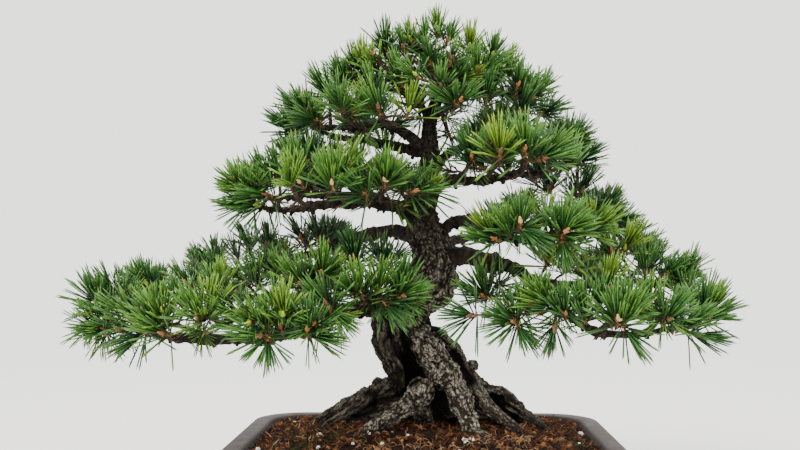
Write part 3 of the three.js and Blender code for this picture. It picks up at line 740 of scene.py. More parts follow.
# How pale thin roots are, and how long their plates are for their width
ROOT_PALENESS, ROOT_STRETCH = 0.3, 2.4
wander = np.array([noise.noise_vector(place / 9) for place in grain.places])
ridge = ease(np.abs(lumps((grain.places + wander * 2.5) * (1, 1, 0.13), 8.0)), 0.0, 0.3)
stretch = np.array(PLATE_STRETCH + [ROOT_STRETCH] * len(side_roots))[grain.line]
# Short plates are domed, and long ones are flat ridges
domed = (stretch < 1.5) * 1.0
crack, dome, plate = plates(grain.places + wander * 2.0, PLATE_WIDTH, stretch)
cracked = ease(lumps(local, 17) + 0.5 * lumps(local, 5), -0.5, 0.3)
crack = 1 - (1 - crack) * cracked
furrow = 1 - ease(grain.second, 0.3, 5.5)
crust = lumps(local, 3.2)
relief = ((3.2 - 1.7 * domed) * (ridge - 0.7) - 4.2 * furrow - 1.3 * (1 - crack) + 1.2 * (plate - 0.5)
          + 1.3 * domed * (dome - 0.6) + 1.5 * lumps(local, 12) + 0.8 * crust) * size
local = local + normals * relief[:, None]
local[:, 1] += sink
stump.data.vertices.foreach_set("co", (local * MM + POT_MIDDLE).ravel())
stump.data.update()

line_paleness = np.array(PALENESS + [ROOT_PALENESS] * len(side_roots))[grain.line]
top = ridge + domed * 0.45 * (dome - ridge)
rise = ease(0.75 * top + 0.4 * crust + 0.3 * (plate - 0.5) - 0.25 * furrow, 0.0, 0.75)
# The wood is paler near the ground than where the sprays shade it
shaded = np.where(grain.line == 0, 0.9 * ease(local[:, 2], 285, 340), 0.65 * ease(local[:, 2], 195, 250))
write_values(stump.data, {
    "grain": grain.places * MM,
    "crack": crack,
    "plate": plate,
    "rise": rise,
    # dark: painted shade in the furrows between strands, in the hollows and high on the core under the
    # sprays, and darker wood where the roots meet the soil
    "dark": np.clip(furrow * 0.8 + sink / 11 + (1 - ease(local[:, 2], 108, 118)) * 0.4
                    + ease(local[:, 2], 330, 430) * 0.4, 0, 1),
    "pale": line_paleness * (1 - shaded),
})
stump.data.polygons.foreach_set("use_smooth", np.ones(len(stump.data.polygons), bool))
print("trunk and roots:", len(stump.data.polygons) * 2, "triangles")

# %% [markdown]
# ### The limbs
#
# A limb is thin enough to keep the rings of its tube. It swells where each spray leaves it, and its bark
# is finer and darker than the trunk's.

# %% Limbs
LIMB_RING_STEP = 2.6
LIMB_PLATE_WIDTH, LIMB_PLATE_STRETCH = 3.6, 1.5
# How much a limb swells where a spray leaves it, and over what distance
COLLAR, COLLAR_REACH = 0.28, 7
SPUR_SPACING = 5.5


def limb_line(points, radii, places=()):
    """A limb's line with its radii, and a collar where each spray starts."""
    last = len(points) - 1
    line = evenly(through([(*p, radii[0] + (radii[1] - radii[0]) * (i / last) ** 0.8)
                           for i, p in enumerate(points)]), LIMB_RING_STEP)
    along = lengths(line) / lengths(line)[-1]
    swell = sum(np.exp(-((along - place) * lengths(line)[-1] / COLLAR_REACH) ** 2) for place in places)
    line[:, 3] *= 1 + COLLAR * swell
    return line


def spurs(line, rng):
    """Short stubs of old twigs, most of them under the limb and along its sides."""
    for _ in range(round(lengths(line)[-1] / SPUR_SPACING)):
        row = line[rng.randrange(len(line) // 8, len(line))]
        out = unit(np.array([rng.uniform(-0.7, 0.7), rng.uniform(-1, 1), rng.uniform(-1.3, 0.5)]))
        tip = row[:3] + out * (row[3] + rng.uniform(0.5, 4.5))
        yield np.array([(*row[:3], row[3] * 0.6), (*(row[:3] + out * row[3] * 0.8), 2.6), (*tip, 1.7)])


limb_lines = [limb_line(points, radii, [spray[0] for spray in sprays])
              for points, radii, sprays in LIMBS.values()]
rng = random.Random(5)
limbs = tubes("wood_limbs", limb_lines + [spur for line in limb_lines for spur in spurs(line, rng)], 2)
points, normals = skin_points(limbs)
local = (points - POT_MIDDLE) / MM
grain = Grain(local, limb_lines)
crack, _, plate = plates(grain.places, LIMB_PLATE_WIDTH, LIMB_PLATE_STRETCH)
crust = lumps(local, 2.6)
size = np.clip(grain.radius / 7, 0.35, 1)
relief = ((crack - 1) * 1.1 + 1.5 * (plate - 0.5) + 1.7 * lumps(local, 8) + 1.0 * crust) * size
local = local + normals * relief[:, None]
limbs.data.vertices.foreach_set("co", (local * MM + POT_MIDDLE).ravel())
limbs.data.update()
write_values(limbs.data, {
    "grain": grain.places * MM,
    "crack": crack,
    "plate": plate,
    "rise": ease(crust + plate * 0.6, -0.2, 0.9),
    # dark: the limbs' own darker tone, and painted shade higher up, under the crown
    "dark": 0.15 + 0.3 * ease(local[:, 2], 370, 440),
    "pale": 0.2 * (1 - ease(grain.radius, 2, 8)),
})
limbs.data.polygons.foreach_set("use_smooth", np.ones(len(limbs.data.polygons), bool))
print("limbs:", sum(len(face.vertices) - 2 for face in limbs.data.polygons), "triangles")

# %% [markdown]
# ### The finish of bark
#
# Old pine bark is grey and flaky on its plates, warm brown where a flake has come off, and nearly black
# in the cracks, where dirt and shade gather. The mask of the cracks comes with the mesh. A second, finer
# set of cracks is drawn in the same grain by the material and sinks in the bump.

# %% Bark
def bark_finish(name, plate_colour, flake_colour, deep_colour, pale_colour, fine):
    f = Finish(name)
    grain_places = f.value("grain", "Vector")
    shaken = f.node("ShaderNodeVectorMath", {"operation": "MULTIPLY_ADD"}, {
        0: f.node("ShaderNodeTexNoise", inputs={
            "Vector": f.places(), "Scale": 240.0, "Detail": 3.0}, output="Color"),
        1: (0.0035, 0.0035, 0.0035), 2: grain_places}, "Vector")
    squeezed = f.node("ShaderNodeMapping", inputs={
        "Vector": shaken, "Scale": (1, 1, 0.55)}, output="Vector")
    fine_cracks = f.between(f.cells(fine, "DISTANCE_TO_EDGE", squeezed), 0.0, 0.14)
    fibres = f.noise(0.0011, 3, 0.6, f.node("ShaderNodeMapping", inputs={
        "Vector": shaken, "Scale": (1, 1, 0.12)}, output="Vector"))
    stain = f.noise(0.013, 4, 0.62)
    grit = f.noise(0.0014, 4, 0.72)
    rise = f.value("rise")
    colour = f.mix(f.between(f.value("plate") * 0.6 + stain * 0.9, 0.5, 1.0), flake_colour, plate_colour)
    pale = f.value("pale")
    worn = pale * f.between(rise * 0.75 + stain * 0.5 + grit * 0.3 + pale * 0.14, 0.72, 1.4)
    colour = f.mix(worn, colour, pale_colour)
    colour = f.mix(f.between(fibres, 0.42, 0.62) * 0.35, colour, flake_colour)
    # Low places of the relief are darkened: dirt that gathers there, and painted shade
    colour = f.mix(f.between(1 - rise, 0.38, 0.95) * (0.84 - pale * 0.42), colour, deep_colour)
    broken = f.between(stain + grit * 0.3 + pale * 0.2, 0.42, 0.75)
    colour = f.mix((1 - fine_cracks) * broken * 0.92, colour, deep_colour)
    colour = f.mix(f.between(1 - f.value("crack"), 0.3, 1.0) * 0.92, colour, deep_colour)
    # The mesh's dark mask: painted shade in furrows, hollows and under the sprays, and darker wood at the
    # soil
    colour = f.mix(f.value("dark"), colour, deep_colour)
    height = fine_cracks * broken * 0.8 + grit * 0.7 + fibres * 0.5
    return f.surface(colour, 0.8 + grit * 0.15, f.bump(height, 0.0014), Specular_IOR_Level=0.22)


bark = bark_finish("old_bark", (0.064, 0.050, 0.033), (0.033, 0.023, 0.014), (0.003, 0.002, 0.001),
                   (0.40, 0.365, 0.285), 0.0034)
limb_bark = bark_finish("limb_bark", (0.064, 0.048, 0.034), (0.040, 0.026, 0.016),
                        (0.004, 0.003, 0.002), (0.17, 0.13, 0.095), 0.0026)
stump.data.materials.clear()
stump.data.materials.append(bark)
limbs.data.materials.clear()
limbs.data.materials.append(limb_bark)
for piece in (stump, limbs):
    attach(piece, "root")
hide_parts("trunk")
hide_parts("trunk")
print("barks:", [len(finish.node_tree.nodes) for finish in (bark, limb_bark)], "nodes")

# %% [markdown]
# ## One needle, and a tuft of them
#
# A pine needle is a stiff half-round blade of even width that comes to a point at its very end. It is
# drawn up from a triangle by extruding twice, and the last ring is drawn together to a tip. Pine needles
# grow in pairs from one sheath, and the pairs stand in a spiral round the end of a shoot: those at the
# tip point ahead, and those at the back stand out. No two tufts are alike, so five kinds are made, and
# five tufts of each: a brush that is still closed, an open tuft, a star whose needles lie nearly flat, a
# young shoot, and a fan that is spread wide one way and is thin the other way.

# %% Needle
NEEDLE_LENGTH = 38
NEEDLE_RADIUS = 0.84
# The foot's share of that radius, and for each ring its share of the length and its width for the last
NEEDLE_FOOT = 0.82
NEEDLE_RINGS = (0.86, 1.2), (1.0, 0.05)


def model_needle(bow):
    """A needle up +Z from the origin, which bows towards +X."""
    bpy.ops.object.select_all(action="DESELECT")
    bpy.ops.mesh.primitive_circle_add(vertices=3, radius=NEEDLE_RADIUS * NEEDLE_FOOT * MM, fill_type="NGON")
    needle = bpy.context.object
    bpy.ops.object.mode_set(mode="EDIT")
    bpy.ops.mesh.select_all(action="SELECT")
    bpy.ops.mesh.flip_normals()
    height = 0
    for share, width in NEEDLE_RINGS:
        rise = (share - height) * NEEDLE_LENGTH
        lean = bow * (share ** 2 - height ** 2)
        bpy.ops.mesh.extrude_region_move(
            TRANSFORM_OT_translate={"value": (lean * MM, 0, rise * MM)})
        bpy.ops.transform.resize(value=(width, width, 1))
        height = share
    bpy.ops.mesh.merge(type="CENTER")
    leave_edit()
    settle(needle)
    shape = read_shape(needle)
    discard(needle)
    shape.values["along"] = shape.corners[:, 2] / (NEEDLE_LENGTH * MM)
    return shape


needles = [model_needle(bow) for bow in (-0.6, 0.3, 1.0, 2.0)]
print("needle:", len(needles[0].faces), "triangles")

# %% Tufts
SHOOT_LENGTH = 11
GOLDEN_TURN = math.pi * (3 - math.sqrt(5))
# Pairs of needles, and how far the lowest and the topmost pairs lean out, in radians
BRUSH, OPEN, STAR = (20, 0.90, 0.16), (21, 1.32, 0.26), (21, 1.62, 0.80)
YOUNG, FAN = (13, 0.55, 0.05), (25, 1.95, 0.05)
TUFTS_A_KIND = 5


def model_tuft(kind, seed):
    """A tuft of needle pairs round +Z, with its middle at the origin. A fan is wide along X."""
    rng = random.Random(seed)
    pairs, low_lean, top_lean = kind
    # The tuft is a little flat, as one that grew beside others
    flat_turn, flat = rng.uniform(0, FULL_TURN), rng.uniform(0.55, 0.95)
    if kind is FAN:
        flat_turn, flat = 0, rng.uniform(0.25, 0.38)
        low_lean *= rng.uniform(0.8, 1.12)
    parts = []
    for pair in range(pairs):
        share = pair / (pairs - 1)
        turn = pair * GOLDEN_TURN + rng.uniform(-0.25, 0.25)
        lean = low_lean + (top_lean - low_lean) * share + rng.uniform(-0.12, 0.12)
        lean *= 1 - (1 - flat) * abs(math.sin(turn - flat_turn))
        outward = np.array([math.cos(turn), math.sin(turn), 0])
        foot = outward * 1.2 + np.array([0, 0, (share - 0.86) * SHOOT_LENGTH])
        length = rng.uniform(0.72, 1.1)
        for sway in (-1, 1):
            splay = sway * rng.uniform(0.03, 0.09)
            heading = (outward * math.sin(lean) + np.array([0, 0, math.cos(lean)])
                       + np.array([-outward[1], outward[0], 0]) * splay)
            matrix = aimed(heading, rng.uniform(0, FULL_TURN), length * rng.uniform(0.94, 1.04), foot * MM)
            parts.append(moved(rng.choice(needles), matrix, own=rng.uniform(-1, 1)))
    return gathered(parts)


brushes, opens, stars, youngs, fans = (
    [model_tuft(kind, 10 * number + seed) for seed in range(TUFTS_A_KIND)]
    for number, kind in enumerate((BRUSH, OPEN, STAR, YOUNG, FAN)))
print("tufts:", [len(kind[0].faces) for kind in (brushes, opens, stars, youngs, fans)], "triangles")

# %% [markdown]
# ## Buds
#
# In spring each strong shoot ends in a bud: a spindle of overlapping papery scales, cream, tan or
# orange-brown. A sphere is drawn out to a spindle, and every second ring of it is widened and turned to
# make the tiers of the scales. Old dry scales also stay on the shoot below the needles.

# %% Bud
BUD_LENGTH = 9.5
BUD_RADIUS = 2.1
BUD_TIERS, BUD_SIDES = 7, 7


def model_bud():
    bpy.ops.object.select_all(action="DESELECT")
    bpy.ops.mesh.primitive_uv_sphere_add(segments=BUD_SIDES, ring_count=BUD_TIERS, radius=1)
    bud = bpy.context.object
    for corner in bud.data.vertices:
        height = (corner.co.z + 1) / 2
        tier = round(height * BUD_TIERS) % 2
        width = math.sin(math.pi * min(1, height * 0.86 + 0.1)) ** 0.8 * (1.14 if tier else 0.82)
        if math.hypot(corner.co.x, corner.co.y) < 0.01:
            width = 0
        turn = math.atan2(corner.co.y, corner.co.x) + tier * math.pi / BUD_SIDES
        corner.co = (math.cos(turn) * width * BUD_RADIUS * MM, math.sin(turn) * width * BUD_RADIUS * MM,
                     height * BUD_LENGTH * MM)
    pick(bud)
    bpy.ops.object.mode_set(mode="EDIT")
    bpy.ops.mesh.select_all(action="SELECT")
    bpy.ops.mesh.normals_make_consistent(inside=False)
    leave_edit()
    shape = read_shape(bud, 2)
    discard(bud)
    shape.values["along"] = shape.corners[:, 2] / (BUD_LENGTH * MM)
    return shape


def model_scale():
    """A dry scale: a small pointed leaf, thick enough to be closed."""
    bpy.ops.object.select_all(action="DESELECT")
    bpy.ops.mesh.primitive_cone_add(vertices=4, radius1=1.2 * MM, depth=5.5 * MM, location=(0, 0, 2.2 * MM))
    scale = bpy.context.object
    scale.scale = (1, 0.4, 1)
    settle(scale)
    shape = read_shape(scale, 2)
    discard(scale)
    return shape


bud, dry_scale = model_bud(), model_scale()
print("bud:", len(bud.faces), "scale:", len(dry_scale.faces), "triangles")

# %% [markdown]
# ## Sprays
#
# Each spray has a rib, and twigs that leave it by turns to the left and to the right. A tuft sits at the
# end of each twig. The rule is the one of the CAD model, with the same numbers from the same keys, so
# each tuft here stands on a tuft of the solid spray or on the free place next to it.

# %% Where tufts grow
TUFT_SPACING = 11
FEWEST_TUFTS, MOST_TUFTS = 6, 8
TWIG_LENGTH = 17
RIB_SHARE = 0.86
UP = np.array([0, 0, 1.0])
FORWARD = np.array([0, 1.0, 0])


def draw(a, b, c):
    """A number from 0 to 1 that is the same at every run for the same three keys."""
    wave = math.sin(a * 12.9898 + b * 78.233 + c * 37.719) * 43758.5453
    return wave - math.floor(wave)


def plan_spray(limb, limb_key, number):
    """The rib of a spray as a function of a share, and its tufts."""
    points, _, sprays = limb
    key = limb_key * 31 + number
    place, *tip, arch = sprays[number]
    line = through(points, 60)
    start, along = at_share(line, place)
    end = np.array(tip, float)
    reach = np.linalg.norm(end - start)
    bend = (start + end) / 2 + along * 0.12 * reach + UP * 2 * arch

    def rib(s):
        return (1 - s) ** 2 * start + 2 * s * (1 - s) * bend + s * s * end

    def heading(s):
        return unit(2 * (1 - s) * (bend - start) + 2 * s * (end - bend))

    count = min(max(math.floor(reach / TUFT_SPACING + 0.5) + 2, FEWEST_TUFTS), MOST_TUFTS)
    grown = []
    for k in range(count):
        at_end = k == count - 1
        s = 0.22 + 0.78 * (k + 1) / count
        ahead = heading(s)
        lateral = unit(np.cross(UP, ahead))
        side = -1 if (k + number) % 2 else 1
        rise = 0.15 + 1.2 * draw(key, k, 1)
        twig = unit(ahead * 0.5 + lateral * side * math.cos(rise) + UP * math.sin(rise))
        foot = rib(RIB_SHARE if at_end else s - 0.14)
        length = TWIG_LENGTH * (0.75 + 0.7 * draw(key, k, 2)) * (1.25 - 0.4 * s)
        centre = end if at_end else rib(s - 0.06) + twig * length
        axis = unit((ahead if at_end else twig + ahead * 0.35) + UP * 0.3)
        grown.append((foot, centre, axis))
    return rib, grown


# %% [markdown]
# Not all sprays are as dense as the rule makes them. Some are open in the photo or stand behind others
# that cover them, and some close a gap. Between the tufts that the CAD model has, each spray carries a
# few short ones that fill its heart, and bare twigs that have lost their needles.

# %% How dense the sprays are
FILL_TUFTS = 3
BARE_TWIGS = 2
# How many short tufts fill each spray, for limbs that the photo shows denser or more open than most
DENSE_LIMBS = {"left_low_mid": 5, "left_low_back": 3, "right_high_back": 8, "right_mid_back": 8,
               "right_low_back": 3, "crown_back": 5, "right_mid_front": 1, "right_low_front": 1}
# How many tufts of the plan remain, from the tip back, for sprays that are open or stand behind fans
OPEN_SPRAYS = {("right_mid_front", 0): 2, ("right_mid_front", 1): 2, ("right_mid_front", 2): 4,
               ("right_low_back", 0): 2, ("right_low_front", 0): 1, ("right_low_front", 1): 2,
               ("right_low_front", 2): 4, ("left_low_back", 0): 3, ("crown_right", 0): 3,
               ("right_high_front", 0): 2, ("right_high_front", 1): 3, ("right_high_front", 2): 3,
               ("left_mid_front", 0): 2, ("left_mid_front", 1): 3, ("left_mid_front", 2): 3,
               ("left_mid_front", 3): 4, ("left_low_front", 0): 3, ("left_low_front", 1): 3,
               ("left_low_front", 2): 4, ("left_low_front", 3): 4, ("left_low_front", 4): 4,
               ("left_low_front", 5): 5, ("left_high_front", 0): 3}
# How long the needles are on some sprays, and on all sprays of some limbs
SHORT_SPRAYS = {("right_low_back", 3): 0.8, ("left_low_back", 3): 0.8, ("left_low_back", 2): 0.9}
LIMB_LENGTHS = {"crown_top": 0.72, "crown_left": 0.86, "crown_right": 0.84, "crown_back": 0.88,
                "right_high_back": 0.88, "right_mid_back": 0.9, "left_low_back": 0.86,
                "left_low_mid": 0.92, "left_high_front": 0.98, "left_high_back": 0.9}
# The colours of buds, as places on the ramp of their finish
CREAM, ORANGE, BROWN, GREEN = 0.05, 0.33, 0.62, 0.97
# Single tufts on twigs of their own, by limb, between the sprays
SINGLE_TUFTS = {
    "crown_top": [(-34, -10, 482), (-14, 0, 496), (16, -14, 496), (38, -4, 490), (6, -40, 488),
                  (46, -44, 480)],
    "crown_back": [(25, 30, 446), (29, 34, 426), (-5, 40, 448)],
    "right_high_back": [(92, 40, 446), (112, 30, 440), (126, 40, 425), (165, 60, 396), (188, 70, 393)],
    "right_high_front": [(104, -60, 408)],
    "right_mid_front": [(120, -90, 334)],
    "right_mid_back": [(171, 70, 360), (195, 90, 354), (188, 80, 339), (223, 100, 324), (252, 100, 316),
                       (262, 90, 302), (167, 60, 301)],
    "right_low_front": [(104, -110, 246)],
    "left_mid_back": [(-152, 20, 404), (-128, 30, 408), (-104, 40, 410), (-80, 40, 412), (-45, 30, 418)],
    "left_low_back": [(-210, 80, 302), (-187, 100, 300), (-145, 110, 306), (-93, 60, 288), (-157, 60, 280),
                      (-197, 60, 280)],
    "left_low_mid": [(-286, 20, 256), (-262, 20, 256), (-298, 10, 242)],
    "left_low_front": [(-340, -90, 218), (-322, -100, 212), (-300, -110, 214)],
}
# How far the tufts of the plan are turned up, more so on the upper limbs
LIFT, LOW_LIFT = 0.38, 0.15
print("single tufts:", sum(len(places) for places in SINGLE_TUFTS.values()))

# %% [markdown]
# What one sees first in the photo are fans: tufts that turn their broad side to the viewer. Each is placed
# by the pixel of its foot and by its depth, and a twig joins it to the nearest wood. Short tufts stand
# behind it, painted dark as shade, because the heart of a dense branch is in shade. The other tufts keep
# clear of the feet of the fans and of the gaps between the tiers.

# %% Fans, shaded tufts and gaps
# The fans of needles that show best in the photo, by limb: the pixel of the fan's foot, how far back it
# stands in mm, the way that it points in the picture in degrees (0 is right, 90 is up), how light its
# green is from 0 to 1, which is painted light and shade, and the colour of its buds
FANS = {
    "left_low_front": [
        (98, 304, -70, 112, 0.45), (160, 322, -130, 95, 0.7), (185, 312, -140, 105, 0.5),
        (112, 328, -95, 176, 0.45, BROWN), (111, 318, -80, 150, 0.55), (145, 334, -120, 206, 0.3),
        (168, 334, -150, 152, 0.65, ORANGE), (135, 320, -110, 138, 0.6),
        (200, 321, -170, 112, 0.8, ORANGE), (207, 316, -165, 68, 0.9, GREEN),
        (214, 303, -150, 95, 0.6, CREAM), (222, 293, -120, 85, 0.9, GREEN), (240, 318, -160, 150, 0.5),
        (266, 336, -180, 172, 0.5, BROWN), (268, 338, -180, 275, 0.4), (282, 330, -165, 92, 0.7, BROWN),
        (284, 318, -172, 90, 0.9, GREEN), (308, 333, -165, 82, 0.45, ORANGE), (310, 335, -165, 345, 0.5),
        (329, 307, -130, 125, 0.6, BROWN), (331, 311, -128, 322, 0.7),
        (322, 276, -100, 92, 0.75, ORANGE), (303, 287, -110, 120, 0.6, ORANGE),
        (362, 296, -95, 97, 0.75, CREAM), (378, 290, -85, 75, 0.7), (400, 297, -90, 22, 0.65, BROWN),
        (402, 290, -85, 78, 0.55), (385, 304, -92, 315, 0.4)],
    "left_low_mid": [
        (150, 287, -30, 105, 0.55, GREEN), (116, 296, -40, 118, 0.4, BROWN),
        (190, 286, -40, 118, 0.7, ORANGE), (215, 279, -30, 95, 0.5), (245, 281, -50, 140, 0.7),
        (285, 280, -60, 108, 0.6, CREAM), (355, 262, -60, 97, 0.35, ORANGE), (382, 263, -40, 88, 0.4),
        (257, 286, -62, 98, 0.55), (272, 276, -45, 84, 0.3)],
    "left_low_back": [
        (268, 248, 90, 92, 0.2, BROWN), (250, 246, 95, 120, 0.2), (303, 240, 80, 118, 0.15, ORANGE),
        (330, 241, 70, 52, 0.1), (318, 239, 75, 108, 0.15), (216, 260, 100, 90, 0.3),
        (238, 260, 80, 105, 0.3)],
    "left_mid_front": [
        (268, 184, -40, 114, 0.45), (280, 180, -60, 104, 0.6), (250, 203, -58, 184, 0.45),
        (272, 196, -75, 168, 0.6, BROWN), (264, 204, -65, 192, 0.45, GREEN), (251, 193, -60, 162, 0.55),
        (303, 186, -100, 124, 0.85, CREAM), (300, 174, -90, 100, 0.6, CREAM),
        (333, 188, -110, 96, 0.7, CREAM), (365, 194, -95, 142, 0.5), (385, 184, -90, 90, 0.7, CREAM),
        (412, 192, -75, 12, 0.6, ORANGE), (347, 182, -70, 62, 0.6)],
    "left_mid_back": [(290, 164, 30, 102, 0.4), (310, 162, 20, 100, 0.5)],
    "left_high_front": [
        (318, 121, -60, 165, 0.45), (295, 132, -40, 150, 0.35), (380, 113, -85, 112, 0.6, BROWN),
        (352, 111, -80, 132, 0.6), (330, 96, -50, 120, 0.5), (307, 112, -40, 146, 0.45),
        (408, 115, -60, 80, 0.9, GREEN)],
    "left_high_back": [(342, 88, 80, 104, 0.35)],
    "crown_left": [
        (392, 60, -20, 115, 0.3, ORANGE), (365, 70, -30, 95, 0.95, GREEN), (356, 74, -20, 98, 0.5),
        (376, 97, -70, 112, 0.6), (386, 52, -25, 96, 0.4), (345, 84, -30, 112, 0.45),
        (402, 84, -60, 104, 0.65)],
    "crown_top": [
        (418, 78, -75, 148, 0.7, GREEN), (405, 53, -50, 110, 0.55, BROWN),
        (425, 46, -45, 95, 0.6, BROWN), (412, 45, -30, 100, 0.9, GREEN), (446, 45, -35, 72, 0.6, ORANGE),
        (438, 36, -14, 90, 0.85, GREEN), (441, 92, -60, 90, 0.5, BROWN), (451, 64, -50, 82, 0.6, BROWN),
        (431, 64, -52, 104, 0.5), (452, 112, -30, 78, 0.3), (455, 82, -45, 62, 0.45),
        (420, 100, -40, 118, 0.3)],
    "crown_right": [
        (458, 104, -60, 38, 0.5, ORANGE), (455, 104, -60, 148, 0.5), (478, 76, -40, 92, 0.75, BROWN),
        (484, 73, -40, 28, 0.6), (470, 52, -25, 85, 0.95, GREEN), (492, 60, -20, 80, 0.5, GREEN),
        (517, 90, -30, 82, 0.55, ORANGE), (529, 102, -20, 55, 0.5, ORANGE), (541, 114, -5, 18, 0.3),
        (486, 100, -40, 72, 0.4), (520, 112, -30, 60, 0.3)],
    "right_high_front": [
        (473, 160, -75, 110, 0.45, ORANGE), (500, 156, -120, 100, 0.95, BROWN),
        (525, 153, -115, 95, 0.65, ORANGE), (508, 170, -30, 96, 0.1), (538, 176, -20, 78, 0.1),
        (540, 160, -110, 15, 0.6, BROWN), (543, 156, -90, 36, 0.75), (520, 147, -80, 122, 0.6)],
    "right_high_back": [
        (578, 162, 60, 32, 0.25), (565, 151, 60, 72, 0.35), (580, 193, 60, 60, 0.2, BROWN),
        (549, 191, 70, 102, 0.15, BROWN)],
    "right_mid_front": [
        (497, 240, -100, 168, 0.6, ORANGE), (493, 237, -95, 120, 0.9), (520, 226, -125, 92, 0.5, CREAM),
        (521, 229, -125, 315, 0.4), (562, 236, -130, 72, 0.55, ORANGE), (560, 232, -125, 22, 0.7, CREAM),
        (562, 240, -128, 275, 0.45), (590, 233, -90, 38, 0.75)],
    "right_mid_back": [
        (602, 214, 70, 58, 0.25, ORANGE), (615, 226, 75, 28, 0.3), (632, 251, 70, 72, 0.35, BROWN),
        (650, 270, 40, 72, 0.35), (662, 284, 30, 38, 0.35)],
    "right_low_back": [
        (548, 264, -40, 80, 0.97, GREEN), (566, 270, -50, 88, 0.9, ORANGE),
        (612, 254, 20, 120, 0.7, ORANGE), (622, 252, 20, 72, 0.95, GREEN), (660, 277, 0, 38, 0.4, BROWN),
        (645, 276, 10, 98, 0.5, BROWN), (686, 300, -10, 80, 0.6, BROWN)],
    "right_low_front": [
        (485, 297, -62, 148, 0.4, ORANGE), (487, 296, -64, 104, 0.4), (474, 315, -118, 178, 0.35, BROWN),
        (515, 322, -130, 162, 0.45, ORANGE), (517, 325, -132, 312, 0.35),
        (527, 307, -110, 60, 0.6, ORANGE), (555, 323, -150, 258, 0.1, BROWN),
        (565, 317, -148, 90, 0.5, ORANGE), (597, 311, -150, 88, 0.5, ORANGE),
        (606, 292, -120, 70, 0.9, ORANGE), (617, 322, -175, 100, 0.6, CREAM), (623, 325, -172, 62, 0.7),
        (624, 328, -170, 308, 0.4), (664, 322, -160, 60, 0.6, BROWN), (682, 328, -150, 38, 0.6),
        (702, 318, -110, 28, 0.45, ORANGE), (705, 316, -105, 72, 0.75),
        (690, 334, -110, 350, 0.3, BROWN), (585, 320, -150, 96, 0.5), (645, 312, -140, 84, 0.7),
        (540, 312, -120, 86, 0.55)],
}
# Tufts painted dark as shade that close the heart of the crown, by limb: the pixel of each, and how far
# back it stands in mm
SHADED = {
    "crown_left": [(392, 66, 20), (378, 82, 22), (362, 92, 20), (402, 90, 25)],
    "crown_top": [(410, 62, 25), (424, 76, 28), (438, 62, 24), (416, 94, 28), (446, 88, 26)],
    "crown_right": [(462, 72, 22), (474, 92, 22), (492, 86, 18), (508, 100, 16)],
}
# Where bare wood or the background shows between the tiers: the pixel of the middle, half of the width and
# half of the height
GAPS = [(487, 262, 34, 8), (526, 250, 14, 9), (392, 234, 26, 5), (335, 220, 60, 3), (488, 192, 34, 4),
        (422, 138, 36, 10), (460, 214, 10, 8)]
# A tuft hides a fan's foot if it stands less than this far behind it, in mm, and is within these pixels of
# it: above, below, to each side, and how much further to the side for each pixel up or down
FAN_ROOM = 10
FREE_ABOVE, FREE_BELOW, FREE_SIDE, FREE_SPREAD = 5, 24, 8, 0.4
# How far a tuft's middle keeps from the edge of a gap, in pixels
GAP_MARGIN = 8
# How far a fan leans towards the front
FAN_TILT = 0.5
# The light from which a fan is that of a young shoot, and yellow-green
YOUNG_LIGHT = 0.82
# Limbs whose fans have a second shaded tuft behind their needles, and how long its needles are for theirs
DEEP_LIMBS = ("crown_left", "crown_top", "crown_right", "left_high_front", "left_mid_front",
              "right_high_front")
DEEP_LENGTH = 0.86
print("fans:", sum(len(rows) for rows in FANS.values()), "gaps:", len(GAPS))

# %% [markdown]
# The ray from the camera through a pixel meets each depth at one place. The same sum done backwards says
# at which pixel a place shows, and so whether a tuft would hide something.

# %% From pixels to places and back
def seen_at(x, y, depth):
    """The place behind a pixel of the photo, in mm from the pot's middle, at a depth along +Y."""
    ray = camera.rotation_euler.to_matrix() @ Vector((
        (x - PHOTO_MIDDLE[0]) / FOCAL_PIXELS, (PHOTO_MIDDLE[1] - y) / FOCAL_PIXELS, -1))
    eye = (np.array(CAMERA_PLACE) - POT_MIDDLE) / MM
    return eye + np.array(ray) * (depth - eye[1]) / ray.y


def seen_as(place):
    """The pixel of the photo at which a place shows, in mm from the pot's middle."""
    x, y, z = camera.rotation_euler.to_matrix().transposed() @ Vector(metres(place) - CAMERA_PLACE)
    return PHOTO_MIDDLE[0] - FOCAL_PIXELS * x / z, PHOTO_MIDDLE[1] + FOCAL_PIXELS * y / z


def hides_what_shows(centre):
    """Whether a tuft here would stand in front of a fan's foot, or in a gap between the tiers."""
    x, y = seen_as(centre)
    for foot_x, foot_y, depth, *_ in (fan for rows in FANS.values() for fan in rows):
        drop = y - foot_y
        side = FREE_SIDE + FREE_SPREAD * abs(drop)
        if centre[1] < depth + FAN_ROOM and -FREE_ABOVE < drop < FREE_BELOW and abs(x - foot_x) < side:
            return True
    return any(
        math.hypot((x - middle_x) / (half_x + GAP_MARGIN), (y - middle_y) / (half_y + GAP_MARGIN)) < 1
        for middle_x, middle_y, half_x, half_y in GAPS)


print("the lip's middle shows at", [round(side) for side in seen_as((0, -160, 95))])

# %% [markdown]
# Twigs are knotty and never straight. Each is a tube with a few rings that are a little out of line, and
# it leaves the nearest wood, but rather from below than from above.

# %% Twigs
def around(rng, axis, spread):
    """A direction that is somewhere round an axis."""
    return unit(axis + np.array([rng.uniform(-spread, spread) for _ in range(3)]))


def crooked(rng, start, end, radii, shake):
    """A thin line of wood between two points that wanders on its way."""
    shares = np.linspace(0, 1, len(radii))
    line = np.array([[*(start + (end - start) * s), radius] for s, radius in zip(shares, radii)])
    line[1:-1, :3] += [[rng.uniform(-shake, shake) for _ in range(3)] for _ in shares[1:-1]]
    return line


def grown_from(wood, centre):
    """The point of the wood that a twig to a tuft leaves."""
    below = np.maximum(wood[:, 2] - centre[2], 0)
    return wood[(np.linalg.norm(wood - centre, axis=1) + 1.5 * below).argmin()]


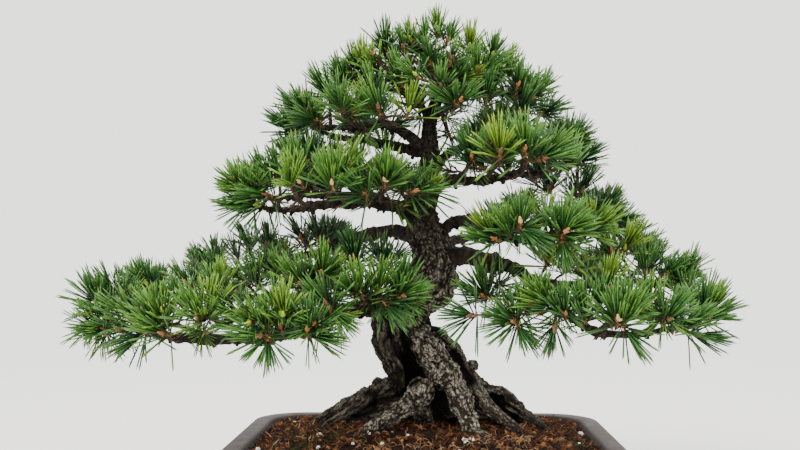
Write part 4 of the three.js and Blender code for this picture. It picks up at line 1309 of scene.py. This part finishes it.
def spray_wood(name, rng, rib, grown):
    """The rib and the twigs of a spray, a little crooked, and some bare twigs."""
    shares = np.linspace(0, RIB_SHARE + 0.1, 9)
    rib_line = np.array([[*rib(s), 3.1 - 1.4 * s] for s in shares])
    rib_line[1:, :3] += [[rng.uniform(-1, 1) for _ in range(3)] for _ in shares[1:]]
    lines = [rib_line]
    for foot, centre, axis in grown:
        thick = 1 + 0.012 * np.linalg.norm(centre - foot)
        radii = np.array((1.5 * thick, 1.2 * thick, 1.4, 1.8, 1.3))
        lines.append(crooked(rng, foot, centre - axis * 1.5, radii, 0.9 * thick))
    for _ in range(BARE_TWIGS):
        start = rib(rng.uniform(0.15, 0.8))
        out = around(rng, np.array([0, -0.2, -0.35]), 1)
        tip = start + out * rng.uniform(12, 26)
        lines.append(crooked(rng, start, tip, (1.3, 0.9, 1.0, 0.6), 1.8))
        lines.append(crooked(rng, (start + tip) / 2, tip + around(rng, out, 1) * 8, (0.8, 0.7, 0.4), 0.8))
    wood = tubes(name, lines, 1)
    shape = read_shape(wood, 1)
    discard(wood)
    shape.corners += np.array([noise.noise_vector(corner * 300) for corner in shape.corners]) * 0.0008
    return shape


# %% [markdown]
# A tuft's colour depends on its age, and on its light and shade, which are painted into it. Tufts at the
# front and top are painted a fresh green, the ones at the back are painted dark and bluish as shade, and
# a few young ones are yellow-green. That goes into the mesh as one number for each needle. Buds sit on
# the tips of some tufts, and dry scales on all of them.

# %% Tufts with buds and scales
# How upright a tuft may be to be a star, and to be open
STAR_BELOW, OPEN_BELOW = 0.15, 0.7
# The share of tufts with a young shoot, with that or buds, and with some yellow
YOUNG_SHARE, BUD_SHARE, YELLOW_SHARE = 0.1, 0.5, 0.2


def buds(rng, centre, axis, hue, extra):
    """One to four buds at the end of a shoot, and one more if extra is 1."""
    base = metres(centre + axis * 2)
    for number in range(rng.choice((1, 1, 2, 3, 4)) + extra):
        big = rng.uniform(0.8, 1.1) if number == 0 else rng.uniform(0.45, 0.7)
        yield moved(bud, aimed(around(rng, axis, 0.25 + 0.4 * (number > 0)), 0, big, base),
                    tint=hue + rng.uniform(-0.05, 0.03))


def dry_scales(rng, centre, axis, count, reach):
    """Old scales round the shoot, below its needles."""
    for _ in range(count):
        base = metres(centre - axis * rng.uniform(-1, reach))
        matrix = aimed(around(rng, axis * 0.4, 1), rng.uniform(0, 6), rng.uniform(0.7, 1.25), base)
        yield moved(dry_scale, matrix, tint=rng.uniform(0.4, 0.75))


def dressed_tuft(rng, centre, axis, length, short):
    """A tuft with its dry scales, and with buds or a young shoot on some."""
    upright = axis[2] + rng.uniform(-0.3, 0.3)
    kinds = stars if upright < STAR_BELOW else opens if upright < OPEN_BELOW else brushes
    # Painted light and shade: tufts high up and at the front get a lighter green, those low down and at the
    # back a darker one
    light = 0.46 + 0.0010 * (centre[2] - 330) - 0.0022 * centre[1]
    tint = np.clip(light + rng.uniform(-0.3, 0.3), 0, 1)
    yellow = 0.5 * rng.random() if rng.random() < YELLOW_SHARE else 0.0
    place = metres(centre - axis * (8 if kinds is brushes else 3 if kinds is opens else 0) * length)
    parts = [moved(rng.choice(kinds), aimed(axis, rng.uniform(0, FULL_TURN), length, place),
                   tint=tint, young=yellow), *dry_scales(rng, centre, axis, 5, 9)]
    chance = rng.random()
    if chance < YOUNG_SHARE and not short:
        shoot = around(rng, axis + UP * 0.5, 0.3)
        kind = rng.choice(youngs)
        matrix = aimed(shoot, rng.uniform(0, 6), 0.5, metres(centre + axis * 5))
        parts.append(moved(kind, matrix, tint=0.9, young=1.0))
        parts.append(moved(bud, aimed(shoot, 0, 0.9, metres(centre + axis * 3)), tint=GREEN))
    elif chance < BUD_SHARE:
        parts += buds(rng, centre, axis, rng.choice((CREAM, ORANGE, ORANGE, BROWN, GREEN)), 0)
    return parts


def fan_matrix(turn, length, place):
    """The matrix of a fan that spreads across the view and leans towards the front."""
    c, s = math.cos(turn), math.sin(turn)
    axis, wide = unit(np.array([c, -FAN_TILT, s])), np.array([-s, 0, c])
    return np.column_stack([np.stack([wide, np.cross(axis, wide), axis], axis=1) * length, place])


def dressed_fan(rng, size, foot, turn, light, hue=None):
    """A fan of needles with the scales and buds at its foot. A fan that hangs down is shorter."""
    turn = math.radians(turn + rng.uniform(-6, 6))
    size *= 1 + 0.16 * min(0, math.sin(turn))
    axis = unit(np.array([math.cos(turn), -FAN_TILT, math.sin(turn)]))
    # The fan's light paints light and shade into its green, and the lightest fans are young and
    # yellow-green
    shade = np.clip(light + rng.uniform(-0.08, 0.08), 0, 1)
    kind = rng.choice(fans)
    matrix = fan_matrix(turn, size * rng.uniform(0.92, 1.06), metres(foot + axis * 6))
    parts = [moved(kind, matrix, tint=shade, young=max(0, 4 * (light - YOUNG_LIGHT))),
             *dry_scales(rng, foot + axis * 2 - FORWARD * 3, axis, 10, 6)]
    if hue is not None:
        parts += buds(rng, foot + axis - FORWARD * 7, unit(axis - FORWARD * 0.7), hue, 1)
    return parts


def shaded_tuft(rng, size, centre, turn):
    """A short tuft that stands behind a fan, with its green painted dark as shade."""
    axis = unit(np.array([0.5 * math.cos(turn), 0.35, 0.7 + 0.3 * math.sin(turn)]))
    matrix = aimed(axis, rng.uniform(0, FULL_TURN), size * rng.uniform(0.76, 0.92), metres(centre))
    return moved(rng.choice(opens), matrix, tint=rng.uniform(0, 0.22), young=0.0)


def fill_tufts(rng, rib, count):
    """Short tufts near the rib, between the ones of the plan."""
    for _ in range(count):
        s = rng.uniform(0.05, 0.95)
        axis = around(rng, np.array([0, -0.1, 0.6]), 0.9)
        foot = rib(s)
        yield foot, foot + axis * rng.uniform(8, 24), axis


# %% [markdown]
# All that a spray carries is gathered into one mesh with three materials. The draws of each spray have a
# seed of their own, so a change in one spray leaves the others as they are.

# %% Sprays
spray_pieces = []
count_tufts = 0
for limb_key, (limb_name, limb) in enumerate(LIMBS.items(), start=1):
    wood = [through(limb[0])[:, :3]]
    length = LIMB_LENGTHS.get(limb_name, 1)
    lift = UP * (LOW_LIFT if "low" in limb_name else LIFT)
    deep_rng = random.Random(limb_key)
    for number in range(len(limb[2])):
        rib, grown = plan_spray(limb, limb_key, number)
        wood.append(np.array([rib(s) for s in np.linspace(0.1, 0.95, 12)]))
        grown = grown[-OPEN_SPRAYS.get((limb_name, number), MOST_TUFTS):]
        grown = [tuft for tuft in grown if not hides_what_shows(tuft[1])] or grown[-1:]
        size = length * SHORT_SPRAYS.get((limb_name, number), 1)
        rng = random.Random(limb_key * 100 + number)
        fillers = [tuft for tuft in fill_tufts(rng, rib, DENSE_LIMBS.get(limb_name, FILL_TUFTS))
                   if not hides_what_shows(tuft[1])]
        parts = []
        twigs = grown + fillers
        for foot, centre, axis in grown:
            axis = around(rng, axis + lift, 0.35)
            parts += dressed_tuft(rng, centre, axis, size * rng.uniform(0.88, 1.02), False)
        for foot, centre, axis in fillers:
            parts += dressed_tuft(rng, centre, axis, size * rng.uniform(0.6, 0.85), True)
        if number == len(limb[2]) - 1:
            for place in SINGLE_TUFTS.get(limb_name, ()):
                centre = np.array(place, float)
                foot = grown_from(np.vstack(wood), centre)
                axis = around(rng, unit(centre - foot) + UP * 0.3, 0.2)
                twigs.append((foot, centre, axis))
                parts += dressed_tuft(rng, centre, axis, length * rng.uniform(0.82, 0.98), False)
            for x, y, depth, *looks in FANS.get(limb_name, ()):
                centre = seen_at(x, y, depth)
                foot = grown_from(np.vstack(wood), centre)
                twigs.append((foot, centre, unit(centre - foot)))
                parts += dressed_fan(rng, length, centre, *looks)
                behind = centre + FORWARD * rng.uniform(14, 26) + UP * rng.uniform(-3, 5)
                turn = math.radians(looks[0])
                if looks[0] < 180 and not hides_what_shows(behind):
                    twigs.append((centre, behind, FORWARD))
                    parts.append(shaded_tuft(rng, length, behind, turn))
                deep = (centre + np.array([math.cos(turn), 0, math.sin(turn)]) * deep_rng.uniform(8, 13)
                        + FORWARD * deep_rng.uniform(16, 34))
                if limb_name in DEEP_LIMBS and looks[0] < 180 and not hides_what_shows(deep):
                    twigs.append((centre, deep, FORWARD))
                    parts.append(shaded_tuft(deep_rng, DEEP_LENGTH * length, deep, turn))
            for x, y, depth in SHADED.get(limb_name, ()):
                centre = seen_at(x, y, depth)
                foot = grown_from(np.vstack(wood), centre)
                twigs.append((foot, centre, unit(centre - foot)))
                parts.append(shaded_tuft(deep_rng, length, centre, math.pi / 2))
        parts.append(spray_wood(f"twigs_{limb_name}_{number + 1}", rng, rib, twigs))
        count_tufts += len(twigs)
        spray = build(f"needles_{limb_name}_{number + 1}", gathered(parts))
        spray_pieces.append(spray)
        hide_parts(f"spray_{limb_name}_{number + 1}")
        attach(spray, "root")
print("sprays:", len(spray_pieces), "tufts:", count_tufts,
      "triangles:", sum(len(spray.data.polygons) for spray in spray_pieces))

# %% [markdown]
# ### The finish of needles
#
# A needle is yellow-brown in its sheath, then deep green, painted darker near its foot as the shade in
# the heart of a tuft, and a touch lighter at the tip. A waxy coat makes it gleam, so its roughness is low
# for a plant's.

# %% Needles, twigs and buds
f = Finish("pine_needles")
tint = f.value("tint")
own = f.value("own")
along = f.value("along")
# tint holds each tuft's painted light and shade with some tone at random, and own a tone of each needle's
# own
green = f.node("ShaderNodeValToRGB", {"stops": [
    (0.0, (0.008, 0.037, 0.009)), (0.35, (0.018, 0.083, 0.017)), (0.7, (0.055, 0.165, 0.018)),
    (1.0, (0.120, 0.245, 0.016)),
]}, {"Fac": tint + own * 0.25}, "Color")
green = f.mix(f.value("young") * 0.8, green, (0.27, 0.37, 0.018))
green = f.mix(f.between(own + f.noise(0.03, 2) * 0.8, 0.95, 1.35) * 0.4, green, (0.018, 0.085, 0.036))
# Painted shade: the lower part of each needle is darker, as the heart of a tuft is in shade
green = f.mix(f.between(0.72 - along, 0.0, 0.6) * 0.6, green, (0.008, 0.041, 0.009))
green = f.mix(f.between(along, 0.5, 1.0) * 0.2, green, (0.15, 0.27, 0.02))
green = f.mix(f.between(0.14 - along, 0.0, 0.1) * 0.9, green, (0.20, 0.100, 0.030))
needle_finish = f.surface(green, 0.44 + along * 0.1, Specular_IOR_Level=0.38)

f = Finish("twig_bark")
scales = f.cells(0.0017)
colour = f.mix(f.between(scales, 0.1, 0.6), (0.090, 0.052, 0.028), (0.022, 0.014, 0.009))
colour = f.mix(f.between(f.noise(0.006), 0.5, 0.8) * 0.6, colour, (0.17, 0.10, 0.055))
twig_finish = f.surface(colour, 0.85, f.bump(scales, 0.0008), Specular_IOR_Level=0.3)

f = Finish("bud_scales")
hue = f.node("ShaderNodeValToRGB", {"stops": [
    (0.0, (0.50, 0.36, 0.16)), (0.33, (0.24, 0.070, 0.014)), (0.62, (0.080, 0.028, 0.011)),
    (0.97, (0.32, 0.42, 0.02)),
]}, {"Fac": f.value("tint")}, "Color")
papery = f.between(f.cells(0.0013), 0.25, 0.7) * 0.22 * f.between(1 - f.value("tint"), 0.3, 0.6)
hue = f.mix(papery, hue, (0.58, 0.33, 0.12))
bud_finish = f.surface(hue, 0.6, f.bump(f.cells(0.0013), 0.0005))
for spray in spray_pieces:
    for finish in (needle_finish, twig_finish, bud_finish):
        spray.data.materials.append(finish)
print("needle finish:", len(needle_finish.node_tree.nodes), "nodes")

# %% [markdown]
# ## The tray
#
# The tray is a stack of rounded rectangles, all with the same number of points: up the outer wall, round
# the lip, and down the inside to the floor. Faces join each ring to the next, and one face closes each
# end. The rings stand close together at the lip, which rounds it like clay wiped with a wet sponge.

# %% Rings of the tray
HALF_LENGTH, HALF_DEPTH, CORNER = 205, 160, 58
# How much smaller the radius of a ring's corners is, as a share of how far the ring is inset
CORNER_SHARE = 0.6
CORNER_POINTS = 15
# The rings from the underside to the inner floor: how far each is inset from the lip, and its height
TRAY_RINGS = [
    (37, 12), (35, 12), (32.5, 13), (30.5, 15), (30, 17), (12.5, 76.5), (11, 78.4), (7, 80), (1.6, 81.6),
    (0.4, 82.6), (0, 84), (0, 91.6), (0.6, 93.6), (2, 94.7), (4, 95.2), (10.5, 95.6), (17, 95.2),
    (19.2, 94.6), (20.5, 93.4), (21, 91.5), (38, 26), (39.5, 24.4), (42, 24),
]


def rounded(half_x, half_y, corner, height):
    """A ring of points round a rectangle with round corners."""
    ring = []
    for quarter, (sx, sy) in enumerate(((1, 1), (-1, 1), (-1, -1), (1, -1))):
        for k in range(CORNER_POINTS):
            turn = (quarter + k / (CORNER_POINTS - 1)) * math.pi / 2
            ring.append((sx * (half_x - corner) + corner * math.cos(turn),
                         sy * (half_y - corner) + corner * math.sin(turn), height))
    return ring


def tray_ring(inset, height):
    corner = CORNER - CORNER_SHARE * inset
    return metres(rounded(HALF_LENGTH - inset, HALF_DEPTH - inset, corner, height))


def stacked(name, rings):
    """Rings with the same number of points as one closed skin that faces out."""
    rings = [np.asarray(ring) for ring in rings]
    count = len(rings[0])
    faces = []
    for level in range(len(rings) - 1):
        for j in range(count):
            a, b = level * count + j, level * count + (j + 1) % count
            faces.append((a, b, b + count, a + count))
    faces.append(tuple(reversed(range(count))))
    faces.append(tuple(range((len(rings) - 1) * count, len(rings) * count)))
    mesh = bpy.data.meshes.new(name)
    mesh.from_pydata(np.vstack(rings).tolist(), [], faces)
    mesh.update()
    piece = bpy.data.objects.new(name, mesh)
    bpy.context.scene.collection.objects.link(piece)
    return piece


tray = stacked("tray", [tray_ring(*ring) for ring in TRAY_RINGS])
print("tray:", len(tray.data.polygons), "faces")

# %% Feet and drain holes
FOOT_HALF, FOOT_PLACE, FOOT_HEIGHT = (34, 22), (126, 88), 13.2
# A foot's widest size for its half size, and how much it draws in at the ground
FOOT_WIDEST, FOOT_SOLE = 2.12, 0.84
DRAIN_PLACE, DRAIN_RADIUS = 92, 9
for sx in (-1, 1):
    for sy in (-1, 1):
        bpy.ops.object.select_all(action="DESELECT")
        bpy.ops.mesh.primitive_cube_add(
            size=1, location=metres((sx * FOOT_PLACE[0], sy * FOOT_PLACE[1], FOOT_HEIGHT / 2)))
        foot = bpy.context.object
        foot.scale = (FOOT_WIDEST * FOOT_HALF[0] * MM, FOOT_WIDEST * FOOT_HALF[1] * MM, FOOT_HEIGHT * MM)
        settle(foot)
        select_faces(foot, lambda face: face.normal.z < -0.9)
        bpy.ops.transform.resize(value=(FOOT_SOLE, FOOT_SOLE, 1))
        leave_edit()
        apply_modifier(foot, "BEVEL", width=2.2 * MM, segments=3, limit_method="ANGLE")
        pick(tray, foot)
        bpy.ops.object.join()
for side in (-1, 1):
    bpy.ops.object.select_all(action="DESELECT")
    bpy.ops.mesh.primitive_cylinder_add(
        vertices=40, radius=DRAIN_RADIUS * MM, depth=40 * MM, location=metres((side * DRAIN_PLACE, 0, 18)))
    drill = bpy.context.object
    settle(drill)
    apply_modifier(tray, "BOOLEAN", operation="DIFFERENCE", object=drill, solver="EXACT")
    discard(drill)
pick(tray)
bpy.ops.object.shade_smooth_by_angle(angle=math.radians(38))
print("tray with feet:", len(tray.data.polygons), "faces")

# %% [markdown]
# The clay is fired without a glaze: a purple-brown body with a fine dry grain, and a little paler where
# the lip is rubbed.

# %% Clay
f = Finish("unglazed_clay")
height = f.node("ShaderNodeSeparateXYZ", inputs={0: f.places()}, output="Z")
cloud = f.noise(0.06, 4, 0.6)
grain_noise = f.noise(0.0009, 2, 0.6)
colour = f.mix(f.between(cloud, 0.3, 0.7), (0.031, 0.021, 0.017), (0.046, 0.032, 0.026))
colour = f.mix(f.between(grain_noise, 0.55, 0.8) * 0.5, colour, (0.075, 0.060, 0.054))
colour = f.mix(f.between(grain_noise, 0.45, 0.2) * 0.4, colour, (0.018, 0.013, 0.012))
rub = f.between(height, 0.0935, 0.0956)
colour = f.mix(rub * f.between(f.noise(0.018, 4), 0.35, 0.7) * 0.35, colour, (0.125, 0.100, 0.090))
clay = f.surface(colour, 0.66 + cloud * 0.2, f.bump(grain_noise + cloud * 2, 0.0004),
                 Specular_IOR_Level=0.35)
tray.data.materials.clear()
tray.data.materials.append(clay)
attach(tray, "root")
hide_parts("pot")
print("clay:", len(clay.node_tree.nodes), "nodes")

# %% [markdown]
# ## The bed of mulch
#
# The bed is a low mound that fills the tray up to the roots. Its skin is only the ground for what lies on
# it: crumbs and flakes of bark, loose fibres, a few white grains and patches of moss.

# %% The mound
SOIL_EDGE, SOIL_MOUND = 87, 22
# How far the bed's edge and its foot on the tray's floor are inset from the lip, and the foot's height
SOIL_INSET, FLOOR_INSET, FLOOR_HEIGHT = 22.5, 39.5, 24.4
SOIL_HALF = (HALF_LENGTH - SOIL_INSET, HALF_DEPTH - SOIL_INSET)
SOIL_CORNER = CORNER - CORNER_SHARE * SOIL_INSET
# Inside this share of the way to its edge the mound is flat, and this much higher than its edge
MOUND_TOP, MOUND_TOP_RISE = 0.4, 18.5


def ring_share(x, y):
    """How far a place is from the middle, as a share of the way to the bed's edge."""
    q = np.abs(np.stack([x, y], axis=-1)) + 1e-6
    share = (q / SOIL_HALF).max(-1)
    k = np.array(SOIL_HALF) - SOIL_CORNER
    in_corner = (q / share[..., None] > k).all(-1)
    qk, qq, kk = (q * k).sum(-1), (q * q).sum(-1), (k * k).sum()
    root = np.sqrt(np.maximum(qk ** 2 - qq * (kk - SOIL_CORNER ** 2), 0))
    return np.where(in_corner, qq / (qk + root), share)


def bed_lumps(x, y):
    """How far the clumps of the mulch stand above or below the smooth mound, in mm."""
    lump = [2.6 * noise.noise((a / 17, b / 17, 3)) + 2.4 * noise.noise((a / 7, b / 7, 9))
            for a, b in zip(np.ravel(x), np.ravel(y))]
    return np.reshape(lump, np.shape(x))


def mound(x, y):
    """The height of the smooth mound at a place, in mm from the ground."""
    share = ring_share(x, y)
    rise = SOIL_MOUND * (1 - np.minimum(share, 1) ** 2)
    return SOIL_EDGE + np.where(share < MOUND_TOP, MOUND_TOP_RISE + (MOUND_TOP - share) * 3, rise)


# Where each root dives into the mound: the first place at which its middle is below the surface
DIVES = np.array([line[line[:, 2] < mound(line[:, 0], line[:, 1]) - 1][0, :2]
                  for line in (through(points) for points in STRANDS + SIDE_ROOTS)])
# How high and how wide the mulch is heaped up there
HEAP, HEAP_WIDTH = 4, 8


def bed_height(x, y):
    """The height of the bed at a place, in mm from the ground, heaped up at the roots' ends."""
    share = ring_share(x, y)
    far = np.min([np.hypot(x - dive_x, y - dive_y) for dive_x, dive_y in DIVES], axis=0)
    heap = HEAP * np.exp(-(far / HEAP_WIDTH) ** 2)
    return mound(x, y) + heap + bed_lumps(x, y) * np.clip((1 - share) * 12, 0, 1)


rim = np.array(rounded(*SOIL_HALF, SOIL_CORNER, 0))[:, :2]
floor_rim = np.array(rounded(HALF_LENGTH - FLOOR_INSET, HALF_DEPTH - FLOOR_INSET,
                             CORNER - CORNER_SHARE * FLOOR_INSET, 0))[:, :2]
rings = [np.column_stack([floor_rim, np.full(len(floor_rim), FLOOR_HEIGHT)])]
for share in np.linspace(1, 0.015, 56):
    xy = rim * share
    rings.append(np.column_stack([xy, bed_height(xy[:, 0], xy[:, 1])]))
bed = stacked("mulch_bed", [metres(ring) for ring in rings])
bed.data.polygons.foreach_set("use_smooth", np.ones(len(bed.data.polygons), bool))
print("bed:", len(bed.data.polygons), "faces")

# %% [markdown]
# The loose parts are modelled once each: a crumb from an icosahedron that is squashed and shaken, a flake
# that is flatter and longer, and a fibre that is a thin bent tube.

# %% Crumbs, flakes and fibres
# Loose parts lie on this half of the bed's length and of its depth, and within this share of the way from
# its middle to its edge
LOOSE_HALF = (182, 137)
LOOSE_EDGE = 0.985


def model_crumb(scale, shake, seed, divisions=1):
    bpy.ops.object.select_all(action="DESELECT")
    bpy.ops.mesh.primitive_ico_sphere_add(subdivisions=divisions, radius=MM)
    crumb = bpy.context.object
    bpy.ops.object.mode_set(mode="EDIT")
    bpy.ops.mesh.select_all(action="SELECT")
    bpy.ops.transform.vertex_random(offset=shake * MM, seed=seed)
    bpy.ops.transform.resize(value=scale)
    leave_edit()
    settle(crumb)
    shape = read_shape(crumb)
    discard(crumb)
    return shape


def model_fibre(seed, length, radius):
    rng = random.Random(seed)
    bend = rng.uniform(-0.3, 0.3)
    line = [(length * (s - 0.5), length * (bend * s * (1 - s) + rng.uniform(-0.04, 0.04)),
             length * (0.1 * s * (1 - s) + rng.uniform(0, 0.05)), radius * (1.15 - 0.9 * abs(s - 0.35)))
            for s in np.linspace(0, 1, 4)]
    fibre = tubes("fibre", [np.array(line) - (*(POT_MIDDLE[:3] / MM), 0)], 0)
    shape = read_shape(fibre)
    discard(fibre)
    return shape


crumbs = [model_crumb((1, 0.8, 0.7), 0.6, seed) for seed in (1, 2)]
flakes = [model_crumb((1.5, 0.75, 0.25), 0.5, seed) for seed in (3, 4)]
fibres = [model_fibre(seed, 1, 0.05) for seed in (5, 6, 7, 8, 9, 10)]
grains = [model_crumb((1, 0.85, 0.8), 0.35, seed, 2) for seed in (9, 10)]
print("crumb:", len(crumbs[0].faces), "fibre:", len(fibres[0].faces), "triangles")


def lying(rng, x, y, sink, scale, steep=0.5):
    """The matrix of something loose that lies on the bed, turned at random."""
    z = float(bed_height(np.array([x]), np.array([y]))[0]) - sink
    axis = (rng.uniform(-steep, steep), rng.uniform(-steep, steep), 1)
    return aimed(axis, rng.uniform(0, FULL_TURN), scale, metres((x, y, z)))


def clump_tint(rng, x, y):
    """Loose bark has a tone of its own, painted darker in the gaps between clumps as shade, and redder on
    top of them as light.
    """
    lump = float(bed_lumps(np.array([x]), np.array([y]))[0])
    return min(1, max(0, 0.42 + 0.24 * lump + rng.uniform(-0.34, 0.34)))


def scattered(rng, count, kinds, make, near=None):
    """Copies of these kinds all over the bed, or within patches of x, y and radius."""
    parts = []
    while len(parts) < count:
        if near:
            x, y, reach = rng.choice(near)
            turn, far = rng.uniform(0, FULL_TURN), reach * math.sqrt(rng.random())
            x, y = x + far * math.cos(turn), y + far * math.sin(turn)
        else:
            x, y = (rng.uniform(-half, half) for half in LOOSE_HALF)
        if ring_share(np.array([x]), np.array([y]))[0] < LOOSE_EDGE:
            parts.append(make(rng.choice(kinds), x, y))
    return gathered(parts)


CRUMBS, FLAKES, FIBRES, GRAINS, MOSS_SPIKES = 3600, 1500, 5600, 30, 3600
# Crumbs and flakes that lie near the places where the roots dive in
ROOT_CRUMBS, ROOT_REACH = 700, 17
# White grains that lie together in front of the middle root: how many, and the place and the radius
LIME_GRAINS, LIME_PATCH = 14, (45, -80, 7)
# Patches of moss, each a place and a radius
MOSS_PATCHES = [(-116, -92, 20), (-92, -70, 15), (-138, -40, 16), (128, 44, 20), (110, 58, 15),
                (20, 100, 26), (-70, 96, 22), (150, -60, 14)]
rng = random.Random(21)
loose = gathered([
    scattered(rng, CRUMBS, crumbs, lambda kind, x, y: moved(
        kind, lying(rng, x, y, 0.6 - rng.uniform(0, 2.5), rng.uniform(1.1, 3.0)),
        tint=clump_tint(rng, x, y))),
    scattered(rng, FLAKES, flakes, lambda kind, x, y: moved(
        kind, lying(rng, x, y, -1.0, rng.uniform(1.5, 3.6), 1.4), tint=clump_tint(rng, x, y))),
    scattered(rng, ROOT_CRUMBS, crumbs + flakes, lambda kind, x, y: moved(
        kind, lying(rng, x, y, -rng.uniform(0, 2), rng.uniform(1.4, 3.2), 1.0),
        tint=clump_tint(rng, x, y)), [(x, y, ROOT_REACH) for x, y in DIVES]),
])
mulch = build("mulch_crumbs", loose)
threads = build("mulch_fibres", scattered(rng, FIBRES, fibres, lambda kind, x, y: moved(
    kind, lying(rng, x, y, -rng.uniform(0.4, 3.2), rng.uniform(4, 12), 1.3),
    tint=clump_tint(rng, x, y))))
grit = build("white_grains", gathered([
    scattered(rng, GRAINS, grains, lambda kind, x, y: moved(
        kind, lying(rng, x, y, -1.8, rng.uniform(1.2, 3.4)), tint=rng.random())),
    scattered(rng, LIME_GRAINS, grains, lambda kind, x, y: moved(
        kind, lying(rng, x, y, -1.4, rng.uniform(0.8, 1.7)), tint=rng.random()), [LIME_PATCH]),
]))

# %% [markdown]
# Moss is short green spikes that stand close together in patches. The pale roots are threads that creep
# over the bed: each one walks on in small steps, with a heading that drifts, and keeps to the surface.

# %% Moss and creeping roots
THREAD_STEP = 2.2
bpy.ops.object.select_all(action="DESELECT")
bpy.ops.mesh.primitive_cone_add(vertices=3, radius1=0.8 * MM, depth=3.4 * MM, location=(0, 0, 1 * MM))
spike = bpy.context.object
settle(spike)
spike_shape = read_shape(spike)
discard(spike)
moss = build("moss", scattered(rng, MOSS_SPIKES, [spike_shape], lambda kind, x, y: moved(
    kind, lying(rng, x, y, -0.6, rng.uniform(0.7, 1.3), 0.7), tint=rng.random()), MOSS_PATCHES))


def creeping(rng, x, y, steps):
    """The line of a thread that wanders over the bed."""
    turn, drift, line = rng.uniform(0, FULL_TURN), 0, []
    for step in range(steps):
        drift = 0.7 * drift + rng.uniform(-0.42, 0.42)
        turn += drift
        x, y = x + THREAD_STEP * math.cos(turn), y + THREAD_STEP * math.sin(turn)
        z = float(bed_height(np.array([x]), np.array([y]))[0]) + 1.6 + 1.8 * math.sin(step * 0.8 + turn)
        line.append((x, y, z, 0.52 - 0.28 * step / steps))
    return np.array(line)


# Where the threads start: half of them in front of the roots, where the photo shows most
ROOT_THREADS = [(rng.uniform(-60, 110), rng.uniform(-126, -74)) for _ in range(60)] + [
    (rng.uniform(-150, 150), rng.uniform(-110, 120)) for _ in range(60)]
root_threads = tubes("root_threads", [
    creeping(rng, x, y, rng.randint(10, 26)) for x, y in ROOT_THREADS], 0)
print("loose parts:", [len(piece.data.polygons) for piece in (mulch, threads, grit)], "triangles")

# %% [markdown]
# The finish of mulch is warm red-brown, with darker crumbs that are still wet. Fibres run from dark to
# straw. Each piece has its own number, so neighbours differ.

# %% Finishes of the bed
def mulch_finish(name, stops, size):
    f = Finish(name)
    shade = f.value("tint") * 0.8 + f.noise(size, 3) * 0.45 - 0.1
    colour = f.node("ShaderNodeValToRGB", {"stops": stops}, {"Fac": shade}, "Color")
    colour = f.mix(f.between(f.noise(0.020, 4), 0.52, 0.68) * 0.7, colour, (0.005, 0.003, 0.002))
    return f.surface(colour, 0.9, f.bump(f.noise(0.0012, 3, 0.7), 0.0008), Specular_IOR_Level=0.2)


bed_finish = mulch_finish("wet_mulch", [
    (0.0, (0.004, 0.002, 0.001)), (0.5, (0.020, 0.009, 0.004)), (1.0, (0.06, 0.025, 0.01))], 0.004)
crumb_finish = mulch_finish("bark_mulch", [
    (0.0, (0.003, 0.002, 0.001)), (0.4, (0.022, 0.008, 0.003)), (0.75, (0.100, 0.035, 0.011)),
    (1.0, (0.32, 0.135, 0.052))], 0.003)
fibre_finish = mulch_finish("mulch_fibre", [
    (0.0, (0.004, 0.002, 0.001)), (0.45, (0.036, 0.013, 0.005)), (0.8, (0.170, 0.062, 0.021)),
    (1.0, (0.46, 0.27, 0.13))], 0.006)
thread_finish = mulch_finish("root_thread", [
    (0.0, (0.20, 0.12, 0.06)), (0.5, (0.42, 0.29, 0.16)), (1.0, (0.60, 0.46, 0.29))], 0.01)
moss_finish = mulch_finish("moss", [
    (0.0, (0.005, 0.009, 0.004)), (0.5, (0.018, 0.028, 0.008)), (1.0, (0.11, 0.10, 0.022))], 0.012)
f = Finish("white_grain")
grain_finish = f.surface(f.mix(f.noise(0.002), (0.62, 0.58, 0.52), (0.82, 0.80, 0.76)), 0.8,
                         f.bump(f.noise(0.0008), 0.0005))
for piece, finish in ((bed, bed_finish), (mulch, crumb_finish), (threads, fibre_finish),
                      (grit, grain_finish), (moss, moss_finish), (root_threads, thread_finish)):
    piece.data.materials.clear()
    piece.data.materials.append(finish)
    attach(piece, "root")
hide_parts("soil")
print("mulch finish:", len(crumb_finish.node_tree.nodes), "nodes")

# %% [markdown]
# ## Stage and light
#
# A plain pale floor and soft light from large lamps. The main lamp is high on the left in front, a broad
# one fills from the right, and the sky is nearly white, as on a bright overcast day. Far out, the floor
# takes the brightness of that sky, so that no horizon cuts through the picture.

# %% Floor and lamps
SKY = 2.3
bpy.ops.object.select_all(action="DESELECT")
bpy.ops.mesh.primitive_circle_add(vertices=64, radius=14, fill_type="NGON", location=(0, 0, -0.0005))
floor = bpy.context.object
floor.name = "floor"
settle(floor)
f = Finish("pale_floor")
flat_places = f.node("ShaderNodeVectorMath", {"operation": "LENGTH"}, {0: f.places()}, "Value")
far = f.between(flat_places, 0.6, 3.0)
floor.data.materials.append(f.surface(
    f.mix(far, (0.80, 0.79, 0.77), (0, 0, 0)), 1.0, Specular_IOR_Level=0.0,
    Emission_Color=f.mix(far, (0, 0, 0), (0.97, 0.97, 0.95)), Emission_Strength=SKY))


def lamp(place, target, size, power, colour):
    bpy.ops.object.light_add(type="AREA", location=place)
    made = bpy.context.object
    made.data.shape = "DISK"
    made.data.size = size
    made.data.energy = power
    made.data.color = colour
    made.rotation_euler = (Vector(target) - Vector(place)).to_track_quat("-Z", "Y").to_euler()


lamp((-1.2, -1.7, 2.3), (0, 0, 0.25), 1.4, 105, (1.0, 0.98, 0.95))
lamp((1.9, -1.3, 1.5), (0, 0, 0.25), 1.8, 26, (0.96, 0.98, 1.0))
lamp((0.3, 1.9, 2.2), (0, 0, 0.3), 1.6, 30, (1.0, 1.0, 1.0))
world = bpy.data.worlds.new("overcast")
bpy.context.scene.world = world
world.use_nodes = True
world.node_tree.nodes["Background"].inputs["Color"].default_value = (0.97, 0.97, 0.95, 1)
world.node_tree.nodes["Background"].inputs["Strength"].default_value = SKY
